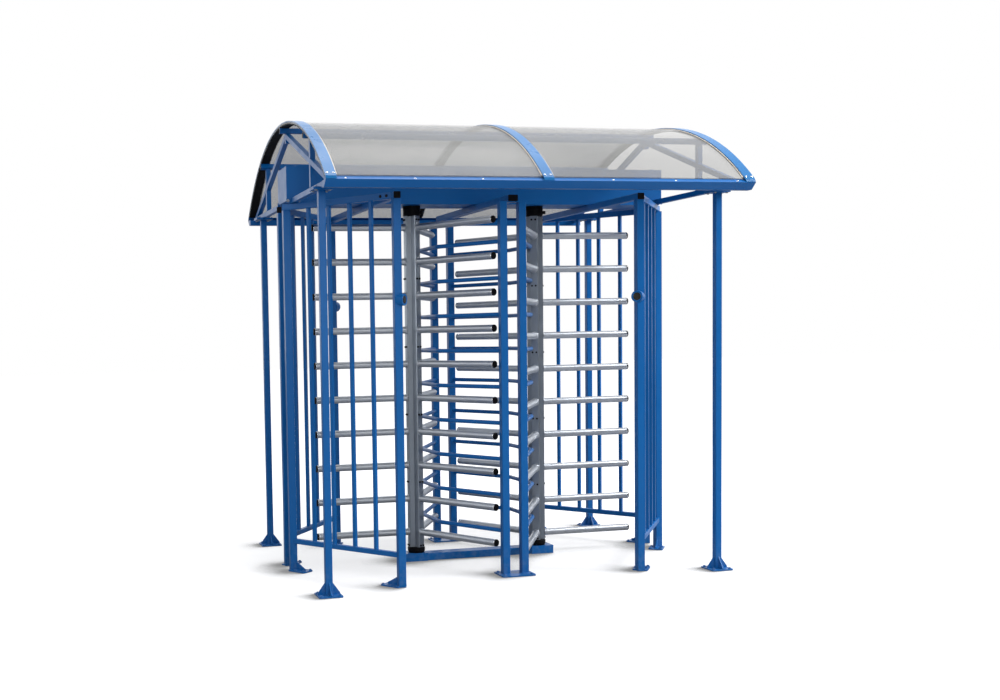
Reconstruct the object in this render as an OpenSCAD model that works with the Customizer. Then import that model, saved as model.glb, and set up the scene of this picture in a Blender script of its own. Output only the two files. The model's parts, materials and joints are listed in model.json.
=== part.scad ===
// Double full-height turnstile under a vaulted canopy.
// Origin on the floor, midway between the two rotor axes.
// +X runs along the row of rotors, +Y from the entry side to the exit side, +Z up.

/* [Rotors] */
// Distance between the two rotor axes
rotor_spacing = 826; // [800:1:900]
// Reach of an arm from its rotor axis, end cap included
arm_reach = 650; // [640:1:656]
// Outside diameter of an arm tube
arm_d = 43; // [36:1:46]
// Height of the lowest arm of the left rotor
first_arm_z = 184; // [172:1:190]
// How far the left rotor's top arms are below the top of the column
top_arm_drop = 71; // [64:1:80]
// How much lower the right rotor's arms run, so that the two rotors pass between each other
rotor_stagger = 53; // [50:1:56]
// Number of arms in a row
arm_count = 10; // [9:1:10]
// Number of arm rows round a rotor
row_count = 3; // [3:1:3]
// Diameter of the welded collar at the root of an arm
collar_d = 49; // [46:1:50]
// Length of the welded collar
collar_l = 5; // [3:1:8]
// Length of the plastic cap on the end of an arm
arm_cap_l = 9; // [6:1:12]
// Width of one wing of the three-winged column
wing_w = 50; // [49:1:54]
// Distance from the rotor axis to the outer face of a wing
wing_r = 48; // [44:1:52]
// Edge chamfer of a wing
wing_chamfer = 4; // [2:1:6]

/* [Bearings] */
// Diameter of the black bearing housings
bearing_d = 109; // [106:1:116]
// Height of the top bearing housing
top_bearing_h = 62; // [50:1:70]
// Height of the bottom bearing boot
boot_h = 37; // [32:1:42]
// Edge chamfer of the bearing housings
bearing_edge = 4; // [2:1:6]
// Radius of the bearing pins that enter the column
pin_r = 12; // [10:1:14]
// Length of a bearing pin
pin_l = 30; // [20:1:40]
// Running clearance round a pin and over a bearing face
bearing_gap = 0.3; // [0.3:0.1:0.5]

/* [Floor beam] */
// Width of the bearing blocks under the two boots
floor_block_w = 112; // [110:1:120]
// Height of the bearing blocks
floor_block_h = 51; // [46:1:56]
// How far a block runs outwards past its rotor axis
floor_block_out = 90; // [70:1:95]
// How far a block runs inwards past its rotor axis
floor_block_in = 60; // [58:1:80]
// Width of the beam between the blocks
floor_beam_w = 96; // [84:1:104]
// Height of the beam between the blocks
floor_beam_h = 46; // [40:1:46]

/* [Posts] */
// Width of the square turnstile posts
post_w = 45; // [42:1:50]
// Corner radius of the square tubes
tube_corner = 4; // [2:0.5:5]
// Height of the turnstile posts
post_h = 2206; // [2200:1:2230]
// Distance from centre to centre of a pair of middle posts
middle_gap = 118; // [110:1:122]
// Running clearance from the arm tips to the middle posts
middle_clearance = 29; // [24:1:46]
// How far the outer posts stand beyond their rotor axis along X
outer_dx = 333; // [325:1:345]
// How far the outer posts stand in front of and behind the rotor axis
outer_dy = 745; // [735:1:765]
// How far the two side posts of a cage stand in front of and behind the rotor axis
side_dy = 80; // [79:1:88]
// Thickness of the base plates
plate_t = 8; // [6:1:12]
// Length of the base plate beside an outer or side post
cage_plate_l = 130; // [120:1:145]
// Width of that plate
cage_plate_w = 90; // [80:1:100]
// How far that plate runs back past the axis of its post
cage_plate_heel = 8; // [4:1:14]
// Gap from such a post to the nearer anchor holes of its plate
cage_hole_gap = 8; // [6:1:12]
// Length of the plate under a pair of middle posts
middle_plate_l = 210; // [200:1:230]
// Width of the plate under a pair of middle posts
middle_plate_w = 150; // [140:1:170]
// Corner radius of the base plates
plate_corner = 12; // [6:1:16]
// Distance from the edge of an outer or side post's plate to its anchor holes
anchor_edge = 13; // [11:1:16]
// Distance from the edge of a middle plate to its anchor holes
middle_anchor_edge = 20; // [16:1:24]
// Radius of the anchor holes in the turnstile's plates
anchor_r = 6; // [5:0.5:7]
// Height of the small gusset at the foot of an outer or side post
foot_gusset_h = 52; // [40:1:60]
// Length of that gusset along the plate
foot_gusset_l = 76; // [60:1:84]
// Thickness of the gussets
gusset_t = 6; // [4:1:8]

/* [Cage panels] */
// Gap from the arm tips to the inner face of a cage panel
cage_clearance = 50; // [44:1:60]
// Width of the square bars of a panel
bar_w = 20; // [16:1:24]
// Number of bars in a panel
bar_count = 4; // [3:1:5]
// Height of the rails
rail_h = 30; // [25:1:35]
// Height of the bottom rail's centre
bottom_rail_z = 184; // [170:1:200]
// Width of the rails
rail_w = 30; // [26:1:36]

/* [Combs] */
// Diameter of a comb tube
hoop_d = 25; // [20:1:28]
// Distance from the rotor axis to the middle of a hoop's straight back
hoop_reach = 105; // [100:1:115]
// Half length of a hoop's straight back, measured to its corners
hoop_back = 175; // [165:1:190]
// Bend radius of a hoop's centre line
hoop_bend = 60; // [50:1:70]
// Length of the weld beads round the joints of a hoop
weld_w = 4; // [3:1:6]
// Height of those beads
weld_h = 0.6; // [0.4:0.1:1]

/* [Top frame and drive housing] */
// Height of the beams that lie on the posts
beam_h = 37; // [34:1:40]
// Width of the outer cross beams
beam_w = 40; // [36:1:46]
// Width of the middle cross beam
middle_beam_w = 60; // [54:1:66]
// Thickness of the tie plate on a pair of middle posts
tie_plate_t = 6; // [5:1:8]
// Thickness of the plastic end caps
beam_cap_t = 4; // [3:1:6]
// How far the drive housing runs past the middle of each truss
housing_over = 41; // [30:1:60]
// Depth of the drive housing
housing_w = 252; // [244:2:260]
// Height of the drive housing's tray
housing_h = 221; // [210:1:226]
// Thickness of the housing's sheet metal
sheet_t = 3; // [2:0.5:4]
// Chamfer along the bottom ends of the tray
housing_chamfer = 18; // [12:1:24]
// Depth of the lid's turned-down edge
lid_edge = 12; // [10:1:16]

/* [Passage displays] */
// Height of the round displays on the outer posts
display_z = 1638; // [1600:1:1660]
// Diameter of a display's stub
display_d = 68; // [60:1:80]
// Diameter of a display's black face
display_face_d = 46; // [40:1:56]
// Length of a display's stub, measured from the post's axis
display_l = 44; // [40:1:60]
// Thickness of the black face
display_face_t = 4; // [3:1:6]

/* [Canopy frame] */
// Distance from the centre to the canopy posts along Y
canopy_y = 840; // [835:1:860]
// Width of the square canopy posts
canopy_post_w = 40; // [36:1:44]
// How far the underside of the trusses is above the underside of the drive housing
truss_lift = 2; // [1:1:8]
// Width of the square truss tubes
truss_w = 30; // [26:1:34]
// Half length of a truss
truss_half = 1065; // [1050:1:1080]
// Height from the bottom of a truss to the top of its rafters at the apex
truss_rise = 435; // [425:1:437]
// Distance from the middle to the truss struts
strut_y = 640; // [620:1:660]
// Width of the head and base plates of a canopy post
canopy_plate_w = 138; // [130:1:146]
// Height of the gussets at the foot of a canopy post
canopy_gusset_h = 97; // [85:1:110]
// Overall width of the gussets at the foot of a canopy post
canopy_gusset_w = 130; // [124:1:130]
// Width of the head plate of a canopy post
head_plate_w = 110; // [104:1:120]
// Distance between the anchor holes of a canopy base plate
canopy_hole_pitch = 104; // [100:1:108]

/* [Roof] */
// Half length of the roof
roof_half = 1250; // [1240:1:1280]
// How far the roof overhangs the trusses and the canopy posts at each end
roof_over = 50; // [40:1:60]
// Width of the cover strips over the roof sheets
arch_w = 60; // [54:1:66]
// Thickness of the cover strips
arch_t = 8; // [6:1:10]
// Thickness of the polycarbonate sheets
roof_sheet_t = 8; // [6:1:10]
// Height of the roof's crown above the sheets' lower edges
roof_rise = 438; // [436:1:460]
// Thickness of the black gasket under a strip
gasket_t = 5; // [3:1:6]
// Width of the black gasket
gasket_w = 52; // [46:1:54]
// How much further a strip's foot runs down than the sheets
arch_foot = 18; // [12:1:20]
// How far the sheets' lower edges lie on the gutters' lips
sheet_lap = 4; // [3:1:8]
// Gap between the two roof sheets under the middle strip
sheet_joint = 10; // [6:1:14]
// Depth of a gutter
gutter_h = 37; // [32:1:50]
// How far a gutter hangs below the underside of the trusses
gutter_drop = 23; // [16:1:28]
// Height of a gutter's sloping lip
gutter_lip_h = 22; // [10:1:26]
// Width of a gutter's sloping lip
gutter_lip_w = 36; // [32:1:40]
// Width of a gutter's floor
gutter_floor = 43; // [38:1:48]
// How far a gutter's front leans out
gutter_lean = 42; // [36:1:46]
// Thickness of a gutter's sheet
gutter_t = 3; // [2:0.5:4]

/* [Hidden] */
$fn = 48;

frame_blue = "#1259a8";
arm_steel = "#aab2ba";
plug_black = "#101214";
roof_smoke = "#a9a9a6";

LEFT = -1;
RIGHT = 1;
FRONT = -1;
BACK = 1;

// Gap between two pieces that only lie on each other, and how far a cut runs past the face it opens
seat_gap = 0.3;
over = 1;

rotor_x = rotor_spacing / 2;
row_step = 360 / row_count;
column_z0 = floor_block_h + boot_h + bearing_gap;
housing_z = post_h + beam_h;
column_z1 = housing_z - top_bearing_h - bearing_gap;
arm_tip = arm_reach - arm_cap_l;
arm_pitch = (column_z1 - top_arm_drop - first_arm_z) / (arm_count - 1);

// Middle posts stand just clear of the circle that the arm tips sweep
middle_x = middle_gap / 2;
middle_dx = rotor_x - middle_x - post_w / 2;
sweep_r = arm_reach + middle_clearance;
middle_y = ceil(sqrt(sweep_r * sweep_r - middle_dx * middle_dx) + post_w / 2);

// A panel's centre line is tangent to a circle round the rotor axis, and its normal points at panel_turn
panel_r = arm_reach + cage_clearance + bar_w / 2;
panel_turn = atan2(outer_dy, outer_dx) - acos(panel_r / norm([outer_dx, outer_dy]));
side_dx = (panel_r - side_dy * sin(panel_turn)) / cos(panel_turn);
outer_x = rotor_x + outer_dx;
side_x = rotor_x + side_dx;
panel_l = norm([outer_dx - side_dx, outer_dy - side_dy]);
panel_clear_l = panel_l - post_w;
bar_step = panel_clear_l / (bar_count + 1);
rail_over = post_w / 2;

// Each hoop is midway between an arm of the left rotor and the next arm up of the right rotor
hoop_count = arm_count - 1;
first_hoop_z = first_arm_z + (arm_pitch - rotor_stagger) / 2;

truss_z = housing_z + truss_lift;
canopy_x = roof_half - roof_over;
housing_l = 2 * (canopy_x + housing_over);
canopy_post_h = truss_z - plate_t;

gutter_y1 = truss_half + gutter_floor;
gutter_y2 = gutter_y1 + gutter_lean;
gutter_y3 = gutter_y2 - gutter_lip_w;
gutter_z0 = truss_z - gutter_drop;
gutter_z1 = gutter_z0 + gutter_h;
gutter_z2 = gutter_z1 + gutter_lip_h;

// The roof is a circular arc that starts on the gutters' lips
sheet_half = gutter_y3 + sheet_lap;
sheet_edge_z = gutter_z2 - sheet_lap * gutter_lip_h / gutter_lip_w + seat_gap;
roof_r = (sheet_half * sheet_half + roof_rise * roof_rise) / (2 * roof_rise);
roof_axis_z = sheet_edge_z + roof_rise - roof_r;
roof_turn = asin(sheet_half / roof_r);
gasket_r = roof_r - seat_gap - gasket_t;
gasket_turn = asin((gutter_y3 - over) / roof_r);
purlin_r = gasket_r - seat_gap;
strut_r = purlin_r - truss_w - seat_gap;
rafter_turn = atan2(truss_rise - truss_w, truss_half);
ridge_z = roof_axis_z + sqrt(purlin_r * purlin_r - truss_w * truss_w / 4) - truss_w;
end_arch_x = roof_half - arch_w / 2;

// ---------- shapes used by several pieces ----------

// Square tube section with rounded corners, centred on the origin
module tube_section(w, d, r = tube_corner) {
    square([w - 2 * r, d], center = true);
    square([w, d - 2 * r], center = true);
    for (sx = [-1, 1], sy = [-1, 1])
        translate([sx * (w / 2 - r), sy * (d / 2 - r)])
            circle(r);
}

// Upright square tube that stands at z0
module upright(w, z0, z1) {
    translate([0, 0, z0])
        linear_extrude(z1 - z0)
            tube_section(w, w);
}

// Tube that runs along +X from x0 to x1 with its centre at height z
module tube_x(x0, x1, w, h, z) {
    translate([x0, 0, z])
        rotate([90, 0, 90])
            linear_extrude(x1 - x0)
                tube_section(w, h);
}

// Tube that runs along +Y from y0 to y1 with its centre at height z
module tube_y(y0, y1, w, h, z) {
    translate([0, y1, z])
        rotate([90, 0, 0])
            linear_extrude(y1 - y0)
                tube_section(w, h);
}

// Flat plate with rounded corners and one anchor hole near each corner
module base_plate(l, w, hole_l, hole_w, r = anchor_r) {
    difference() {
        linear_extrude(plate_t)
            tube_section(l, w, plate_corner);
        for (sx = [-1, 1], sy = [-1, 1])
            translate([sx * hole_l / 2, sy * hole_w / 2, -over])
                cylinder(h = plate_t + 2 * over, r = r);
    }
}

// Upright triangular gusset from x0 outwards to x1, with a small toe
module gusset(x0, x1, h, toe = 8) {
    translate([0, gusset_t / 2, plate_t])
        rotate([90, 0, 0])
            linear_extrude(gusset_t)
                polygon([[x0, -plate_t / 2], [x1, -plate_t / 2], [x1, toe], [x0, h]]);
}

// Places its children on a cage corner: side is LEFT or RIGHT, end is FRONT or BACK
module at_corner(side, end, dx, dy) {
    translate([side * (rotor_x + dx), end * dy, 0])
        children();
}

// Turns its children so that +X runs along the panel, from the outer post to the side post
module along_panel(side, end) {
    rotate([0, 0, end * side * (panel_turn - 90) + (side < 0 ? 180 : 0)])
        children();
}

// ---------- rotors ----------

// Three-winged column with a bearing bore at each end
module rotor_column() {
    color(arm_steel)
        difference() {
            translate([0, 0, column_z0])
                linear_extrude(column_z1 - column_z0)
                    for (i = [0:row_count - 1])
                        rotate(i * row_step)
                            polygon([
                                [0, -wing_w / 2], [wing_r - wing_chamfer, -wing_w / 2],
                                [wing_r, wing_chamfer - wing_w / 2], [wing_r, wing_w / 2 - wing_chamfer],
                                [wing_r - wing_chamfer, wing_w / 2], [0, wing_w / 2]
                            ]);
            for (z = [column_z0 - over, column_z1 - pin_l - over])
                translate([0, 0, z])
                    cylinder(h = pin_l + 2 * over, r = pin_r + bearing_gap);
        }
}

// Places its children at every arm root of a rotor, with +Z pointing out along the arm
module at_arms(z0) {
    for (row = [0:row_count - 1], i = [0:arm_count - 1])
        rotate([0, 0, row * row_step])
            translate([wing_r, 0, z0 + i * arm_pitch])
                rotate([0, 90, 0])
                    children();
}

// One arm with its welded collar
module arm() {
    cylinder(h = arm_tip - wing_r, d = arm_d);
    cylinder(h = collar_l, d = collar_d);
}

// Domed plastic cap on an arm's end
module arm_cap() {
    r = arm_d / 2;
    l = arm_cap_l;
    translate([0, 0, arm_tip - wing_r])
        rotate_extrude()
            polygon([[0, 0], [r, 0], [r, l / 2], [r - l / 4, l * 0.85], [r - l / 2, l], [0, l]]);
}

module at_rotor(side) {
    translate([side * rotor_x, 0, 0])
        rotate([0, 0, side < 0 ? 180 : 0])
            children();
}

module left_rotor_column() at_rotor(LEFT) rotor_column();
module right_rotor_column() at_rotor(RIGHT) rotor_column();
module left_rotor_arms() color(arm_steel) at_rotor(LEFT) at_arms(first_arm_z) arm();
module right_rotor_arms() color(arm_steel) at_rotor(RIGHT) at_arms(first_arm_z - rotor_stagger) arm();
module left_rotor_caps() color(plug_black) at_rotor(LEFT) at_arms(first_arm_z) arm_cap();
module right_rotor_caps() color(plug_black) at_rotor(RIGHT) at_arms(first_arm_z - rotor_stagger) arm_cap();

// ---------- bearings and floor beam ----------

module bottom_bearings() {
    r = bearing_d / 2;
    e = bearing_edge;
    h = boot_h;
    color(plug_black)
        for (side = [LEFT, RIGHT])
            translate([side * rotor_x, 0, floor_block_h]) {
                rotate_extrude()
                    polygon([[0, 0], [r - e, 0], [r, h * 0.4], [r, h - e], [r - e, h], [0, h]]);
                cylinder(h = boot_h + pin_l, r = pin_r);
            }
}

module top_bearings() {
    r = bearing_d / 2;
    e = bearing_edge;
    h = top_bearing_h;
    color(plug_black)
        for (side = [LEFT, RIGHT])
            translate([side * rotor_x, 0, housing_z - h]) {
                rotate_extrude()
                    polygon([
                        [0, 0], [r - e, 0], [r - e / 4, e], [r - e / 4, h * 0.6],
                        [r, h * 0.64], [r, h], [0, h]
                    ]);
                translate([0, 0, -pin_l])
                    cylinder(h = pin_l + over, r = pin_r);
            }
}

// Beam on the floor with a bearing block under each rotor
module floor_beam() {
    block_l = floor_block_out + floor_block_in;
    block_in_x = rotor_x - floor_block_in;
    color(frame_blue) {
        tube_x(-block_in_x, block_in_x, floor_beam_w, floor_beam_h, floor_beam_h / 2);
        for (side = [LEFT, RIGHT])
            translate([side * (block_in_x + block_l / 2), 0, floor_block_h / 2])
                cube([block_l, floor_block_w, floor_block_h], center = true);
    }
}

// ---------- posts ----------

// Two posts on one plate, tied at the top
module middle_posts(end) {
    holes = 2 * middle_anchor_edge;
    color(frame_blue)
        translate([0, end * middle_y, 0]) {
            base_plate(middle_plate_l, middle_plate_w, middle_plate_l - holes, middle_plate_w - holes);
            for (side = [LEFT, RIGHT])
                translate([side * middle_x, 0, 0])
                    upright(post_w, plate_t / 2, post_h - tie_plate_t / 2);
            translate([0, 0, post_h - tie_plate_t / 2])
                cube([middle_gap + post_w, post_w, tie_plate_t], center = true);
        }
}

// Post that stands on the floor, with a plate and a gusset beside it that point along the panel
module cage_post(side, end, turn) {
    far_hole = cage_plate_l - cage_plate_heel - anchor_edge;
    near_hole = post_w / 2 * sqrt(2) + anchor_r + cage_hole_gap;
    upright(post_w, 0, post_h);
    along_panel(side, end)
        rotate([0, 0, turn]) {
            difference() {
                translate([cage_plate_l / 2 - cage_plate_heel, 0, 0])
                    linear_extrude(plate_t)
                        tube_section(cage_plate_l, cage_plate_w, plate_corner);
                for (x = [near_hole, far_hole], flank = [-1, 1])
                    translate([x, flank * (cage_plate_w / 2 - anchor_edge), -over])
                        cylinder(h = plate_t + 2 * over, r = anchor_r);
            }
            gusset(post_w / 2, post_w / 2 + foot_gusset_l, foot_gusset_h);
        }
}

module outer_post(side, end) {
    color(frame_blue)
        at_corner(side, end, outer_dx, outer_dy)
            cage_post(side, end, 0);
}

module side_posts(side) {
    color(frame_blue)
        for (end = [FRONT, BACK])
            at_corner(side, end, side_dx, side_dy)
                cage_post(side, end, 180);
}

module front_middle_posts() middle_posts(FRONT);
module back_middle_posts() middle_posts(BACK);
module front_left_post() outer_post(LEFT, FRONT);
module back_left_post() outer_post(LEFT, BACK);
module front_right_post() outer_post(RIGHT, FRONT);
module back_right_post() outer_post(RIGHT, BACK);
module left_side_posts() side_posts(LEFT);
module right_side_posts() side_posts(RIGHT);

// ---------- cage panels ----------

// Footprint of every post that a panel meets, as tall as the posts
module panel_posts(side, end) {
    at_corner(side, end, outer_dx, outer_dy)
        upright(post_w, 0, post_h);
    at_corner(side, end, side_dx, side_dy)
        upright(post_w, 0, post_h);
}

// Bars between a bottom rail and a top rail that lies on the posts
module panel(side, end) {
    top_z = post_h + beam_h / 2;
    bar_z0 = bottom_rail_z + rail_h / 2;
    corner_x = side < 0 ? -outer_x : outer_x - post_w;
    corner_y = end < 0 ? -outer_dy - post_w : outer_dy;
    color(frame_blue)
        difference() {
            at_corner(side, end, outer_dx, outer_dy)
                along_panel(side, end) {
                    tube_x(0, panel_l, rail_w, rail_h, bottom_rail_z);
                    tube_x(0, panel_l + rail_over, rail_w, beam_h, top_z);
                    for (i = [1:bar_count])
                        translate([post_w / 2 + i * bar_step, 0, bar_z0])
                            translate([-bar_w / 2, -bar_w / 2, 0])
                                cube([bar_w, bar_w, post_h - bar_z0]);
                }
            panel_posts(side, end);
            translate([side * outer_x, 0, top_z])
                cube([beam_w, 2 * (outer_dy + post_w), beam_h + 2 * over], center = true);
            translate([corner_x, corner_y, post_h - over])
                cube([post_w, post_w, beam_h + 2 * over]);
        }
}

module front_left_panel() panel(LEFT, FRONT);
module back_left_panel() panel(LEFT, BACK);
module front_right_panel() panel(RIGHT, FRONT);
module back_right_panel() panel(RIGHT, BACK);

// ---------- combs ----------

// Bend of a hoop round a centre: it starts at -X from there and turns towards +Y
module elbow(centre, sweep) {
    translate(centre)
        mirror([1, 0, 0])
            rotate_extrude(angle = sweep)
                translate([hoop_bend, 0])
                    circle(d = hoop_d);
}

// Straight stretch of tube between two points in the hoop's plane, with a weld bead over both its ends
module straight(a, b) {
    l = norm(b - a);
    translate([a[0], a[1], 0])
        rotate([0, 0, atan2(b[1] - a[1], b[0] - a[0])])
            rotate([0, 90, 0]) {
                translate([0, 0, weld_w / 4])
                    cylinder(h = l - weld_w / 2, d = hoop_d);
                for (z = [-weld_w / 2, l - weld_w / 2])
                    translate([0, 0, z])
                        cylinder(h = weld_w, d = hoop_d + weld_h * 2);
            }
}

// Hoop of the left comb: out from the front post, past the column, and back to the rear post
module hoop() {
    back_x = -rotor_x + hoop_reach;
    leg = [-middle_x - back_x, middle_y - hoop_back];
    leg_turn = atan2(leg[0], leg[1]);
    cut = hoop_bend * tan(leg_turn / 2);
    leg_dir = leg / norm(leg);
    straight([back_x, cut - hoop_back], [back_x, hoop_back - cut]);
    for (end = [FRONT, BACK])
        mirror([0, end < 0 ? 1 : 0, 0]) {
            elbow([back_x + hoop_bend, hoop_back - cut, 0], leg_turn);
            straight([back_x + leg_dir[0] * cut, hoop_back + leg_dir[1] * cut], [-middle_x, middle_y]);
        }
}

// The hoops of one side, cut where they meet the posts
module comb(side) {
    color(frame_blue)
        mirror([side < 0 ? 0 : 1, 0, 0])
            difference() {
                for (i = [0:hoop_count - 1])
                    translate([0, 0, first_hoop_z + i * arm_pitch])
                        hoop($fn = 36);
                for (end = [FRONT, BACK])
                    translate([-middle_x, end * middle_y, 0])
                        upright(post_w, 0, post_h);
            }
}

module left_comb() comb(LEFT);
module right_comb() comb(RIGHT);

// ---------- top frame and drive housing ----------

module cross_beams() {
    color(frame_blue) {
        for (side = [LEFT, RIGHT])
            translate([side * outer_x, 0, 0])
                tube_y(-outer_dy - post_w / 2, outer_dy + post_w / 2, beam_w, beam_h, post_h + beam_h / 2);
        tube_y(-middle_y - post_w / 2, middle_y + post_w / 2, middle_beam_w, beam_h, post_h + beam_h / 2);
    }
}

module beam_end_caps() {
    color(plug_black)
        for (end = [FRONT, BACK]) {
            for (side = [LEFT, RIGHT])
                translate([side * outer_x, 0, 0])
                    beam_cap(end, outer_dy + post_w / 2, beam_w);
            beam_cap(end, middle_y + post_w / 2, middle_beam_w);
        }
}

module beam_cap(end, y, w) {
    mirror([0, end < 0 ? 1 : 0, 0])
        tube_y(y, y + beam_cap_t, w, beam_h, post_h + beam_h / 2);
}

// Folded tray: outline of its front face, from the bottom up
module housing_outline(inset) {
    half = housing_l / 2 - inset;
    c = housing_chamfer;
    polygon([
        [-half + c, inset], [half - c, inset], [half, c + inset],
        [half, housing_h], [-half, housing_h], [-half, c + inset]
    ]);
}

module drive_housing() {
    color(frame_blue)
        translate([0, housing_w / 2, housing_z])
            rotate([90, 0, 0])
                difference() {
                    linear_extrude(housing_w)
                        housing_outline(0);
                    translate([0, 0, sheet_t])
                        linear_extrude(housing_w - 2 * sheet_t)
                            union() {
                                housing_outline(sheet_t);
                                translate([sheet_t - housing_l / 2, housing_h - over])
                                    square([housing_l - 2 * sheet_t, 2 * over]);
                            }
                }
}

// Shallow lid with turned-down edges that closes the tray
module housing_lid() {
    z = housing_z + housing_h;
    inner_l = housing_l - 2 * (sheet_t + seat_gap);
    inner_w = housing_w - 2 * (sheet_t + seat_gap);
    color(frame_blue)
        difference() {
            union() {
                translate([-housing_l / 2, -housing_w / 2, z])
                    cube([housing_l, housing_w, sheet_t]);
                translate([-inner_l / 2, -inner_w / 2, z - lid_edge])
                    cube([inner_l, inner_w, lid_edge]);
            }
            translate([sheet_t - inner_l / 2, sheet_t - inner_w / 2, z - lid_edge - over])
                cube([inner_l - 2 * sheet_t, inner_w - 2 * sheet_t, lid_edge + over]);
        }
}

// ---------- passage displays ----------

// Places its children on the outward corner of each outer post, with +Z pointing out
module at_displays() {
    for (side = [LEFT, RIGHT], end = [FRONT, BACK])
        at_corner(side, end, outer_dx, outer_dy)
            translate([0, 0, display_z])
                rotate([0, 0, atan2(end, -side)])
                    rotate([0, 90, 0])
                        children();
}

module display_stubs() {
    color(frame_blue)
        difference() {
            at_displays()
                difference() {
                    cylinder(h = display_l, d = display_d);
                    translate([0, 0, display_l - display_face_t])
                        cylinder(h = display_face_t + over, d = display_face_d);
                }
            for (side = [LEFT, RIGHT], end = [FRONT, BACK])
                at_corner(side, end, outer_dx, outer_dy)
                    upright(post_w, 0, post_h);
        }
}

module display_faces() {
    color(plug_black)
        at_displays()
            translate([0, 0, display_l - display_face_t])
                cylinder(h = display_face_t, d = display_face_d - 2 * seat_gap);
}

// ---------- canopy ----------

// Post with a gusseted base plate and a head plate
module canopy_post(side, end) {
    color(frame_blue)
        translate([side * canopy_x, end * canopy_y, 0]) {
            base_plate(canopy_plate_w, canopy_plate_w, canopy_hole_pitch, canopy_hole_pitch);
            upright(canopy_post_w, plate_t / 2, canopy_post_h + plate_t / 2);
            for (a = [0:90:270])
                rotate([0, 0, a])
                    gusset(0, canopy_gusset_w / 2, canopy_gusset_h);
            translate([0, 0, canopy_post_h])
                linear_extrude(plate_t)
                    tube_section(head_plate_w, head_plate_w, tube_corner);
        }
}

module canopy_post_front_left() canopy_post(LEFT, FRONT);
module canopy_post_back_left() canopy_post(LEFT, BACK);
module canopy_post_front_right() canopy_post(RIGHT, FRONT);
module canopy_post_back_right() canopy_post(RIGHT, BACK);

// One half of a truss: chord, rafter, strut and half of the king post
module half_truss() {
    rafter_l = truss_half / cos(rafter_turn);
    rafter_end = 2 * truss_w;
    half_w = truss_w / 2;
    king_z = truss_z + truss_rise - 2 * truss_w;
    translate([-half_w, housing_w / 2, truss_z])
        cube([truss_w, truss_half - housing_w / 2, truss_w]);
    intersection() {
        translate([-half_w, strut_y - half_w, truss_z])
            cube([truss_w, truss_w, 2 * truss_rise]);
        translate([0, 0, roof_axis_z])
            rotate([0, 90, 0])
                translate([0, 0, -half_w - over])
                    cylinder(h = truss_w + 2 * over, r = strut_r, $fn = 96);
    }
    intersection() {
        translate([-half_w, 0, truss_z + half_w])
            cube([truss_w, truss_half - over, truss_rise - half_w]);
        translate([-half_w, truss_half, truss_z])
            rotate([-rafter_turn, 0, 0])
                translate([0, -rafter_l - rafter_end, 0])
                    cube([truss_w, rafter_l + 2 * rafter_end, truss_w]);
    }
    translate([-half_w, 0, king_z])
        cube([truss_w, half_w, ridge_z - seat_gap - king_z]);
}

module truss(side) {
    color(frame_blue)
        translate([side * canopy_x, 0, 0])
            for (end = [FRONT, BACK])
                rotate([0, 0, end < 0 ? 180 : 0])
                    half_truss();
}

module left_truss() truss(LEFT);
module right_truss() truss(RIGHT);

// One purlin at the head of each row of struts and a ridge purlin on the king posts
module roof_purlins() {
    purlin_turn = asin(strut_y / purlin_r);
    color(frame_blue) {
        for (end = [FRONT, BACK])
            mirror([0, end < 0 ? 1 : 0, 0])
                translate([0, 0, roof_axis_z])
                    rotate([-purlin_turn, 0, 0])
                        translate([-roof_half, -truss_w / 2, purlin_r - truss_w])
                            cube([2 * roof_half, truss_w, truss_w]);
        translate([-roof_half, -truss_w / 2, ridge_z])
            cube([2 * roof_half, truss_w, truss_w]);
    }
}

// Gutter along one eave: an open channel whose front leans out and folds back as a sloping lip
module gutter(end) {
    t = gutter_t;
    color(frame_blue)
        mirror([0, end < 0 ? 1 : 0, 0])
            translate([-roof_half, 0, 0])
                rotate([90, 0, 90]) {
                    linear_extrude(2 * roof_half)
                        polygon([
                            [truss_half, gutter_z1], [truss_half, gutter_z0], [gutter_y1, gutter_z0],
                            [gutter_y2, gutter_z1], [gutter_y3, gutter_z2], [gutter_y3, gutter_z2 - t],
                            [gutter_y2 - 2 * t, gutter_z1 - t / 2], [gutter_y1 - t / 2, gutter_z0 + t],
                            [truss_half + t, gutter_z0 + t], [truss_half + t, gutter_z1]
                        ]);
                    for (x = [0, 2 * roof_half - t])
                        translate([0, 0, x])
                            linear_extrude(t)
                                polygon([
                                    [truss_half, gutter_z1], [truss_half, gutter_z0],
                                    [gutter_y1, gutter_z0], [gutter_y2, gutter_z1]
                                ]);
                }
}

module front_gutter() gutter(FRONT);
module back_gutter() gutter(BACK);

// Slice of a cylinder shell from x0 to x1 between two radii, turn degrees to each side of the crown
module vault(x0, x1, r0, r1, turn) {
    translate([x0, 0, roof_axis_z])
        rotate([0, 90, 0])
            rotate([0, 0, 180 - turn])
                rotate_extrude(angle = 2 * turn)
                    translate([r0, 0])
                        square([r1 - r0, x1 - x0]);
}

// Cover strip bent over the sheets at distance x from the middle
module arch(x) {
    r = roof_r + roof_sheet_t + seat_gap;
    turn = roof_turn + arch_foot / r * 180 / PI;
    color(frame_blue)
        vault(x - arch_w / 2, x + arch_w / 2, r, r + arch_t, turn);
}

module left_arch() arch(-end_arch_x);
module middle_arch() arch(0);
module right_arch() arch(end_arch_x);

// Black gaskets under the sheets, one below each cover strip
module arch_gaskets() {
    color(plug_black)
        for (x = [-end_arch_x, 0, end_arch_x])
            vault(x - gasket_w / 2, x + gasket_w / 2, gasket_r, gasket_r + gasket_t, gasket_turn);
}

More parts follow.
